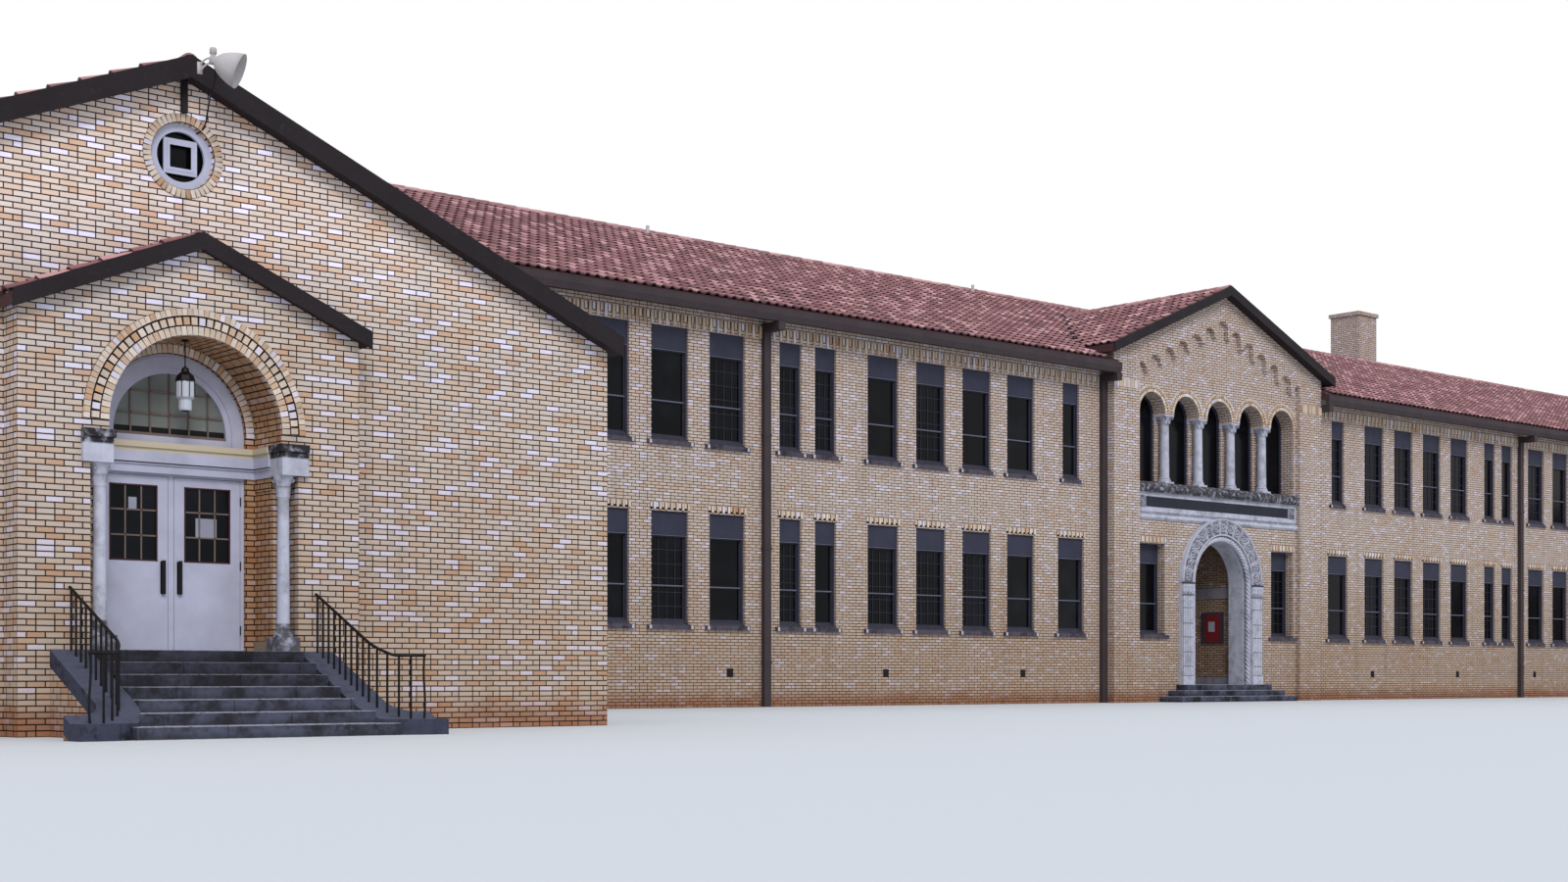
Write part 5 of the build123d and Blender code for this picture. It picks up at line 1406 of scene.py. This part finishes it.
class SCHOOL_OT_carving(bpy.types.Operator):
    """Carved stone of the portal, the band and the capitals."""

    bl_idname = "school.carving"
    bl_label = "Carving"

    def execute(self, context):
        parts = []
        for i in range(15):
            angle = math.pi * (i + 0.5) / 15
            hand = 1 if i % 2 else -1
            parts.append(scroll(PORTAL_CARVING, angle, PORTAL_FRONT - 0.0004, 0.0148, hand))
            for radius, shift in (
                (0.1450, 0.0), (0.1745, 0.0), (PORTAL_CARVING, 0.0), (0.1500, 0.02), (0.1690, -0.02),
            ):
                angle = math.pi * (i + 1) / 15 + shift
                if i < 14:
                    parts.append(scroll(radius, angle, PORTAL_FRONT - 0.0004, 0.0052, -hand))
        for side in (-1, 1):
            for x in (0.1450, PORTAL_CARVING, 0.1740):
                for z in (0.3060, 0.3180):
                    parts.append(scroll(None, 0.0, PORTAL_FRONT - 0.0040, 0.0058, side, (side * x, z)))
        mesh_piece("portal_scrolls", *join_parts(parts), "Stone", smooth=True)
        ground = arch_band(0, PORTAL_SPRING, 0.1390, 0.1800, *proud(PORTAL_FRONT, 0.0004), steps=40)
        mesh_piece("portal_ground", *ground, "Carved ground")
        edges = []
        fillets = ((0.1360, 0.1395, 0.0022), (0.1795, 0.1830, 0.0022), (0.1760, 0.1775, 0.0012))
        for inner, outer, depth in fillets:
            edges.append(arch_band(0, PORTAL_SPRING, inner, outer, *proud(PORTAL_FRONT, depth), steps=40))
        mesh_piece("portal_fillets", *join_parts(edges), "Stone")
        rope = mesh_piece("portal_twisted_rope", *join_parts(rope_strands()), "Stone", smooth=True)
        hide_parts("portal_ropes")
        blocks = Pile()
        joints = (0.0725, 0.099, 0.139, 0.180, 0.218, 0.261, 0.3040)
        strip = (proud(CENTRE_FRONT, 0.0010), (0.534, 0.562))
        for side in (-1, 1):
            for low, high in zip(joints[:-1], joints[1:]):
                jamb = (side * 0.1380, side * 0.1815)
                blocks.box("Carved ground", jamb, proud(PORTAL_FRONT, 0.0003), (low, high))
                for i in range(6):
                    x = side * (0.1413 + i * 0.0073)
                    flute = (x - 0.0027, x + 0.0027)
                    blocks.box("Stone", flute, proud(PORTAL_FRONT, 0.0022), (low + 0.001, high - 0.001))
            cap = (side * 0.1345, side * 0.1842)
            blocks.box("Dark stone", cap, proud(PORTAL_FRONT, 0.0055), (0.3275, 0.3322))
            blocks.box("Dark stone", cap, proud(PORTAL_FRONT, 0.0048), (0.2960, 0.2978))
            for z in (0.1290, 0.1660, 0.2030, 0.2400):
                x = (side * 0.1188, side * 0.1182)
                blocks.box("Joint", x, (-0.0150, 0.035), (z - 0.0005, z + 0.0005))
            x = (side * 0.1300, side * 0.1284)
            blocks.box("Pale panel", x, (0.0365, 0.2155), (0.297, 0.328))
            blocks.box("Pale panel", x, (0.0365, 0.2155), (0.0482, 0.069))
            ornament = (side * 0.3290, side * 0.3570)
            blocks.box("Ornament", ornament, proud(CENTRE_FRONT, 0.0014), (0.532, 0.564))
            blocks.box("Name strip", (side * 0.3255, side * 0.2030), *strip)
        blocks.box("Name strip", (-0.2030, 0.2030), *strip)
        blocks.finish("carved")
        for name in ("left_porch_columns", "right_porch_columns"):
            columns = link_piece(name + "_turned", slender_columns(name), "Porch stone")
            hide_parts(name)
        leaves = []
        for hall in (-1, 1):
            for side in (-1, 1):
                place = (hall * HALL_X + side * COLUMN_X, COLUMN_Y)
                leaves += capital(place, 0.2885, 0.3120, 0.0076, 0.0112, 0.0027)
        for i in range(4):
            leaves += capital(((i - 1.5) * ARCADE_PITCH, -0.0062), 0.7665, 0.7865, 0.0128, 0.0175)
        mesh_piece("capital_leaves", *join_parts(leaves), "Stone", smooth=True)
        return {"FINISHED"}


def slender_columns(name):
    """Copy of the porch columns' mesh with the turned shafts drawn in towards their axes."""
    foot, base, neck, top = 0.1125, 0.124, 0.288, 0.3149
    shape = bmesh.new()
    shape.from_mesh(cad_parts[name].data)
    bmesh.ops.remove_doubles(shape, verts=shape.verts, dist=1e-6)
    for vertex in shape.verts:
        x, y, z = vertex.co
        hall = math.copysign(HALL_X, x)
        axis = hall + math.copysign(COLUMN_X, x - hall)
        if math.hypot(x - axis, y - COLUMN_Y) > 0.0145 or not foot < z < top:
            continue
        factor = 0.95 if z < base else 0.83 + 0.10 * max(0.0, z - neck) / 0.027
        vertex.co.x = axis + (x - axis) * factor
        vertex.co.y = COLUMN_Y + (y - COLUMN_Y) * factor
    mesh = bpy.data.meshes.new(name)
    shape.to_mesh(mesh)
    shape.free()
    return mesh


def scroll(radius, angle, front, size, hand, centre=None):
    """Raised spiral in a wall's elevation, at a centre or at an angle of the portal's arch."""
    centre = centre or (radius * math.cos(angle), PORTAL_SPRING + radius * math.sin(angle))
    path = []
    for i in range(22):
        share = i / 21
        turn = angle + hand * (0.6 + share * 3.6 * math.pi)
        reach = size * (1.0 - 0.86 * share)
        path.append(
            (centre[0] + reach * math.cos(turn), front - 0.0010 * share, centre[1] + reach * math.sin(turn))
        )
    return tube(path, 0.0008 + 0.08 * size, 6)


def rope_strands():
    """Three strands twisted round the line of the portal's colonnettes and arch."""
    line = (PORTAL_ROPE + PORTAL_OPENING) / 2
    rise = PORTAL_SPRING - PLATFORM
    arc = math.pi * line
    y = PORTAL_FRONT + 0.009
    strands = []
    for strand in range(3):
        path = []
        for i in range(331):
            along = (2 * rise + arc) * i / 330
            if along < rise:
                x, z, out = -line, PLATFORM + along, (-1.0, 0.0)
            elif along < rise + arc:
                turn = math.pi - (along - rise) / line
                out = (math.cos(turn), math.sin(turn))
                x, z = line * out[0], PORTAL_SPRING + line * out[1]
            else:
                x, z, out = line, PORTAL_SPRING - (along - rise - arc), (1.0, 0.0)
            twist = 2 * math.pi * (along / 0.036 + strand / 3)
            radial = 0.0042 * math.cos(twist)
            path.append((x + radial * out[0], y + 0.0042 * math.sin(twist), z + radial * out[1]))
        strands.append(tube(path, 0.0045, 7))
    return strands


def capital(place, low, high, inner, outer, volute=0.0042):
    """Two tiers of leaves bent outwards and four corner volutes."""
    leaf = ((0.0, 0.0, 0.0034), (0.55, 0.12, 0.0040), (0.9, 0.7, 0.0032), (0.82, 1.0, 0.0012))
    parts = []
    height = high - low
    for tier, (start, end, count) in enumerate(((0.0, 0.62, 8), (0.30, 1.0, 8))):
        for i in range(count):
            turn = 2 * math.pi * (i + tier / 2) / count
            across = (-math.sin(turn), math.cos(turn))
            vertices = []
            for share, reach, width in leaf:
                radius = inner + (outer - inner) * reach * (0.6 + 0.4 * tier)
                z = low + height * (start + (end - start) * share)
                for side in (-1, 1):
                    vertices.append((
                        place[0] + radius * math.cos(turn) + side * width * across[0],
                        place[1] + radius * math.sin(turn) + side * width * across[1],
                        z,
                    ))
            faces = [(2 * j + 1, 2 * j, 2 * j + 2, 2 * j + 3) for j in range(3)]
            faces = [tuple(reversed(face)) for face in faces]
            parts.append((vertices, faces))
    for i in range(4):
        turn = math.pi / 4 + i * math.pi / 2
        path = []
        for j in range(14):
            share = j / 13
            curl = share * 2.6 * math.pi
            size = volute * (1 - 0.8 * share)
            radius = outer + size * math.sin(curl)
            z = high - volute * 1.07 + size * math.cos(curl)
            path.append((place[0] + radius * math.cos(turn), place[1] + radius * math.sin(turn), z))
        parts.append(tube(path, 0.0010, 5))
    return parts


class SCHOOL_OT_doors(bpy.types.Operator):
    """Doors, their bars and furniture, fanlights and lanterns."""

    bl_idname = "school.doors"
    bl_label = "Doors"

    def execute(self, context):
        finish_nodes("Door paint", "left_door_leaf", "right_door_leaf", "fixed_doors", "door_frames")
        finish_nodes("Iron", "left_door_pull", "right_door_pull", "door_hinges")
        for name in ("left", "right"):
            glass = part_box(name + "_door_glass")
            pane_bars(name + "_door", glass, name + "_leaf")
            (x0, y0, z0), (x1, y1, z1) = glass
            pane_bars("far_" + name + "_door", ((-x1, y0, z0), (-x0, y1, z1)), "building")
            (x0, y0, z0), (x1, y1, z1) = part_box(name + "_door_pull")
            middle = (x0 + x1) / 2
            for label, x, body in ((name, middle, name + "_leaf"), ("far_" + name, -middle, "building")):
                plate = Pile()
                across = (x - 0.0029, x + 0.0029)
                plate.box("Iron", across, (y1 - 0.0010, y1 + 0.0002), (z0 + 0.001, z1 - 0.001))
                plate.finish(label + "_pull_plate", body)
        for name, (x0, x1, z0, z1) in DOOR_PAPERS.items():
            paper = Pile()
            paper.box("Paper", (x0, x1), (DOOR_FACE - 0.0005, DOOR_FACE), (z0, z1))
            paper.finish(name + "_paper", name + "_leaf")
        trim = Pile()
        rings = []
        panes = []
        for hall in (-1, 1):
            x = hall * HALL_X
            front = RECESS_BACK + 0.0035
            rings.append(arch_band(x, ARCH_SPRING, 0.0790, 0.0925, front, front + 0.006))
            rings.append(arch_band(x, ARCH_SPRING, 0.0720, 0.0792, front + 0.0020, front + 0.007))
            panes.append(half_disc(x, ARCH_SPRING, 0.0800, FANLIGHT_FOOT, front + 0.0068, front + 0.0074))
            for side in (-1, 1):
                foot = (FANLIGHT_FOOT, ARCH_SPRING)
                outer = (x + side * 0.0790, x + side * 0.0925)
                inner = (x + side * 0.0720, x + side * 0.0792)
                trim.box("Door paint", outer, (front, front + 0.006), foot)
                trim.box("Door paint", inner, (front + 0.002, front + 0.007), foot)
            across = (x - 0.0722, x + 0.0722)
            trim.box("Door paint", across, (front + 0.001, front + 0.007), (FANLIGHT_FOOT, 0.3600))
            trim.box("Glazing bars", across, (front + 0.002, front + 0.007), (0.3600, 0.3635))
            bars = (front + 0.0045, front + 0.007)
            for i in range(-2, 3):
                aside = i * 0.0248
                top = ARCH_SPRING + math.sqrt(FANLIGHT_RADIUS ** 2 - aside ** 2)
                middle = x + aside
                trim.box("Glazing bars", (middle - 0.0010, middle + 0.0010), bars, (0.3600, top))
            for z in (0.387, 0.414):
                half = math.sqrt(FANLIGHT_RADIUS ** 2 - (z - ARCH_SPRING) ** 2)
                trim.box("Glazing bars", (x - half, x + half), bars, (z - 0.0010, z + 0.0010))
            trim.box("Iron", (x - 0.0950, x + 0.0950), (-1.1985, -1.1845), (0.0994, 0.1000))
        mesh_piece("fanlight_rings", *join_parts(rings), "Door paint")
        mesh_piece("fanlight_panes", *join_parts(panes), "Fanlight glass")
        trim.finish("fanlight")
        glass = []
        iron = []
        shade = (
            (0.0, 0.3880), (0.0070, 0.3880), (0.0078, 0.3895), (0.0078, 0.4010), (0.0116, 0.4040),
            (0.0116, 0.4235), (0.0, 0.4235),
        )
        cup = ((0.0, 0.3870), (0.0040, 0.3872), (0.0072, 0.3885), (0.0072, 0.3900), (0.0, 0.3900))
        hood = (
            (0.0, 0.4225), (0.0124, 0.4225), (0.0124, 0.4245), (0.0104, 0.4300), (0.0052, 0.4345),
            (0.0042, 0.4390), (0.0014, 0.4410), (0.0008, 0.4430), (0.0008, 0.4700), (0.0050, 0.4715),
            (0.0050, 0.4730), (0.0, 0.4730),
        )
        for hall in (-1, 1):
            x, y = hall * HALL_X, PORCH_FRONT + 0.035
            glass.append(lathe(shade, (x, y), 12))
            iron.append(lathe(cup, (x, y), 8))
            iron.append(lathe(hood, (x, y), 8))
            for i in range(8):
                turn = 2 * math.pi * i / 8
                corner = (x + 0.0118 * math.cos(turn), y + 0.0118 * math.sin(turn))
                iron.append(tube([(*corner, 0.4040), (*corner, 0.4235)], 0.0006, 4))
        lamp = mesh_piece("lantern_glass", *join_parts(glass), "Lamp glass")
        mesh_piece("lantern_caps", *join_parts(iron), "Iron")
        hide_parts("lanterns")
        return {"FINISHED"}


def half_disc(x, z, radius, foot, front, back):
    """Vertices and faces of an arched sheet from its foot to the top of a half circle."""
    steps = 24
    outline = [(x + radius, foot)]
    for i in range(steps + 1):
        angle = math.pi * i / steps
        outline.append((x + radius * math.cos(angle), z + radius * math.sin(angle)))
    outline.append((x - radius, foot))
    count = len(outline)
    vertices = [(a, front, b) for a, b in outline] + [(a, back, b) for a, b in outline]
    faces = [tuple(reversed(range(count))), tuple(range(count, 2 * count))]
    faces += [(i, (i + 1) % count, count + (i + 1) % count, count + i) for i in range(count)]
    return vertices, faces


def pane_bars(name, glass, body):
    """Nine-pane glazing bars before and behind a pane, and the moulding round it."""
    (x0, y0, z0), (x1, y1, z1) = glass
    depth = (y0 - 0.0012, y1 + 0.0012)
    pile = Pile()
    for i in (1, 2):
        x = x0 + (x1 - x0) * i / 3
        z = z0 + (z1 - z0) * i / 3
        pile.box("Glazing bars", (x - 0.0009, x + 0.0009), depth, (z0, z1))
        pile.box("Glazing bars", (x0, x1), depth, (z - 0.0009, z + 0.0009))
    edge = 0.0018
    deep = (y0 - 0.0022, y1 + 0.0012)
    pile.box("Glazing beads", (x0, x0 + edge), deep, (z0, z1))
    pile.box("Glazing beads", (x1 - edge, x1), deep, (z0, z1))
    pile.box("Glazing beads", (x0, x1), deep, (z0, z0 + edge))
    pile.box("Glazing beads", (x0, x1), deep, (z1 - edge, z1))
    pile.finish(name, body)


def railing(x, side):
    """Parts of one stair rail: a bar that falls with the flight and curves outwards, on its balusters."""
    straight, radius = 0.126, 0.050
    reach = straight + math.pi / 2 * radius
    start = HALL_FRONT - 0.041
    off_axis = 0.155
    fall = 0.4733
    rail = (0.1705, 0.0935)
    coping = (0.0994, 0.0184)

    def place(run):
        if run <= straight:
            return x + side * off_axis, start - run
        turn = (run - straight) / radius
        away = off_axis + radius * (1 - math.cos(turn))
        return x + side * away, start - straight - radius * math.sin(turn)

    def height(y, top, foot):
        return max(foot, top - fall * (start - y))

    bar = []
    for i in range(41):
        a, b = place(reach * i / 40)
        bar.append((a, b, height(b, *rail)))
    parts = [tube(bar, 0.0018, 8)]
    half = 0.0010
    for i in range(14):
        a, b = place((i + 0.3) * reach / 14.6)
        low = height(b + half, *coping)
        corners = box_corners((a - half, a + half), (b - half, b + half), (low, height(b, *rail)))
        parts.append((corners, BOX_FACES))
    a, b = place(reach - 0.0015)
    post = []
    for i in range(13):
        share = i / 12
        bulge = side * 0.0009 * math.sin(2 * math.pi * share)
        post.append((a + bulge, b, coping[1] + share * (rail[1] - coping[1])))
    parts.append(tube(post, 0.0014, 8))
    return parts


def floodlight_parts():
    """Parts of the lamp on the left gable: bell, neck with its sensor, two arms and their plate."""
    aim = Vector((0.770, -0.541, -0.370)).normalized()
    across = aim.cross(Vector((0, 0, 1))).normalized()
    rise = across.cross(aim)
    neck = Vector(FLOODLIGHT_NECK)
    bell = (
        (0.0001, -0.0060), (0.0052, -0.0060), (0.0056, -0.0005), (0.0080, 0.0015), (0.0122, 0.0060),
        (0.0158, 0.0125), (0.0188, 0.0200), (0.0212, 0.0300), (0.0204, 0.0300), (0.0180, 0.0202),
        (0.0150, 0.0130), (0.0114, 0.0072), (0.0068, 0.0034), (0.0001, 0.0030),
    )
    vertices, faces = lathe(bell, (0.0, 0.0), 40)
    vertices = [neck + across * a + rise * b + aim * c for a, b, c in vertices]
    sensor = (
        (0.0001, -0.0050), (0.0046, -0.0050), (0.0046, 0.0030), (0.0030, 0.0036), (0.0030, 0.0066),
        (0.0042, 0.0070), (0.0042, 0.0120), (0.0036, 0.0140), (0.0001, 0.0148),
    )
    cap = [(r, neck.z + 0.0016 + h) for r, h in sensor]
    back = neck - aim * 0.003
    plate = Vector((-HALL_X - 0.006, HALL_FRONT - 0.0585, neck.z - 0.008))
    parts = [(vertices, faces), lathe(cap, (back.x, back.y), 20)]
    for low, high in ((-0.004, -0.002), (0.004, 0.003)):
        foot = plate + Vector((0.001, 0.001, low))
        end = back + Vector((0.0, 0.0, high))
        middle = (foot + end) / 2 + Vector((0.0, -0.001, 0.003))
        parts.append(tube([foot, foot.lerp(middle, 0.5) + Vector((0, 0, 0.0012)), middle, end], 0.0012, 8))
    across = (plate.x - 0.0025, plate.x + 0.0035)
    upright = (plate.z - 0.007, plate.z + 0.007)
    parts.append((box_corners(across, (plate.y, HALL_FRONT - 0.0565), upright), BOX_FACES))
    return parts


class SCHOOL_OT_iron(bpy.types.Operator):
    """Railings, floodlight with its cable, pipe straps, gable posts and notice board."""

    bl_idname = "school.iron"
    bl_label = "Ironwork"

    def execute(self, context):
        finish_nodes("Window paint", "notice_board")
        pile = Pile()
        pile.box("Red paint", (0.1264, 0.1272), (0.072, 0.127), (0.171, 0.250))
        pile.box("Paper", (0.1260, 0.1266), (0.092, 0.114), (0.201, 0.230))
        for side in (-1, 1):
            x = side * DOWNSPOUT_X
            for z in (0.10, 0.36, 0.62):
                pile.box("Gutter", (x - 0.0115, x + 0.0115), (-0.0135, -0.0005), (z, z + 0.006))
        for hall in (-1, 1):
            post = (hall * HALL_X - 0.0034, hall * HALL_X + 0.0034)
            pile.box("Rake board", post, (HALL_FRONT - 0.0065, HALL_FRONT), (0.7466, 0.790))
        pile.finish("fittings")
        for hall, name in ((-1, "left_railings"), (1, "right_railings")):
            parts = railing(hall * HALL_X, -1) + railing(hall * HALL_X, 1)
            rails = mesh_piece(name + "_bars", *join_parts(parts), "Iron")
            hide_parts(name)
        head = mesh_piece("floodlight_head", *join_parts(floodlight_parts()), "White paint", smooth=True)
        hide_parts("floodlight")
        path = [
            (-HALL_X + x, y, z)
            for x, y, z in (
                (0.0072, -1.2975, 0.7925), (0.0098, -1.2950, 0.7862), (0.0116, -1.2915, 0.7782),
                (0.0098, -1.2890, 0.7681), (0.0098, -1.2830, 0.7612), (0.0177, -1.2620, 0.7591),
                (0.0249, -1.2440, 0.7551), (0.0281, -1.2340, 0.7492), (0.0280, -1.2310, 0.7403),
                (0.0252, -1.2300, 0.7329), (0.0214, -1.2270, 0.7278), (0.0192, -1.2180, 0.7265),
            )
        ]
        mesh_piece("lamp_cable", *tube(path, 0.0010, 6), "Iron")
        return {"FINISHED"}


class SCHOOL_OT_stage(bpy.types.Operator):
    """Floor, light, backdrop and camera."""

    bl_idname = "school.stage"
    bl_label = "Stage"

    def execute(self, context):
        mesh = bpy.data.meshes.new("floor")
        size = 60.0
        corners = [(-size, -size, 0), (size, -size, 0), (size, size, 0), (-size, size, 0)]
        mesh.from_pydata(corners, [], [(0, 1, 2, 3)])
        floor = bpy.data.objects.new("floor", mesh)
        context.scene.collection.objects.link(floor)
        mesh.materials.append(material_named("Floor"))
        sun = bpy.data.lights.new("sun", "SUN")
        sun.energy = 1.3
        sun.angle = math.radians(20)
        sun.color = (1.0, 0.98, 0.96)
        lamp = bpy.data.objects.new("sun", sun)
        lamp.rotation_euler = Euler((math.radians(52), 0.0, math.radians(-24)))
        context.scene.collection.objects.link(lamp)
        world = bpy.data.worlds.new("studio")
        context.scene.world = world
        world.use_nodes = True
        tree = Tree(world.node_tree)
        back = world.node_tree.nodes["Background"]
        path = tree.add("ShaderNodeLightPath")
        seen = tree.math("MAXIMUM", path.outputs["Is Camera Ray"], path.outputs["Is Glossy Ray"])
        seen = tree.math("MAXIMUM", seen, path.outputs["Is Transmission Ray"])
        direction = tree.parts(tree.add("ShaderNodeTexCoord").outputs["Generated"])
        zenith = tree.between(direction[2], 0.05, 0.9)
        light = tree.mix(zenith, (0.50, 0.55, 0.66, 1.0), (0.92, 1.0, 1.16, 1.0))
        tree.put(back.inputs["Color"], tree.mix(seen, light, (1.0, 1.0, 1.0, 1.0)))
        back.inputs["Strength"].default_value = 1.0
        camera = bpy.data.objects.new("camera", bpy.data.cameras.new("camera"))
        camera.data.lens = 46.8
        camera.data.sensor_width = 36.0
        camera.data.shift_y = 0.151
        camera.data.clip_start = 0.02
        camera.data.clip_end = 200.0
        camera.location = (-4.711, -3.555, 0.067)
        camera.rotation_euler = (math.radians(90), 0.0, math.radians(-41.06))
        context.scene.collection.objects.link(camera)
        context.scene.camera = camera
        context.scene.view_settings.view_transform = "Standard"
        return {"FINISHED"}


class SCHOOL_PT_panel(bpy.types.Panel):
    """Settings and steps of the school."""

    bl_idname = "SCHOOL_PT_panel"
    bl_label = "School"
    bl_space_type = "VIEW_3D"
    bl_region_type = "UI"
    bl_category = "School"

    def draw(self, context):
        for group in (context.scene.school_brick, context.scene.school_roof, context.scene.school_trim):
            box = self.layout.box()
            for name in group.bl_rna.properties.keys():
                if name not in ("rna_type", "name"):
                    box.prop(group, name)
        for operator in OPERATORS:
            self.layout.operator(operator.bl_idname)


OPERATORS = (
    SCHOOL_OT_walls,
    SCHOOL_OT_roof,
    SCHOOL_OT_windows,
    SCHOOL_OT_brickwork,
    SCHOOL_OT_carving,
    SCHOOL_OT_doors,
    SCHOOL_OT_iron,
    SCHOOL_OT_stage,
)
SETTINGS = (
    ("school_brick", SchoolBrickSettings),
    ("school_roof", SchoolRoofSettings),
    ("school_trim", SchoolTrimSettings),
)


def register():
    """Register the classes and the scene settings."""
    for name, group in SETTINGS:
        bpy.utils.register_class(group)
        setattr(bpy.types.Scene, name, bpy.props.PointerProperty(type=group))
    for operator in OPERATORS:
        bpy.utils.register_class(operator)
    bpy.utils.register_class(SCHOOL_PT_panel)


def unregister():
    """Remove what register added."""
    bpy.utils.unregister_class(SCHOOL_PT_panel)
    for operator in reversed(OPERATORS):
        bpy.utils.unregister_class(operator)
    for name, group in reversed(SETTINGS):
        delattr(bpy.types.Scene, name)
        bpy.utils.unregister_class(group)


def main():
    """Build the scene step by step."""
    register()
    bpy.ops.school.walls()
    bpy.ops.school.roof()
    bpy.ops.school.windows()
    bpy.ops.school.brickwork()
    bpy.ops.school.carving()
    bpy.ops.school.doors()
    bpy.ops.school.iron()
    bpy.ops.school.stage()


if __name__ == "__main__":
    main()
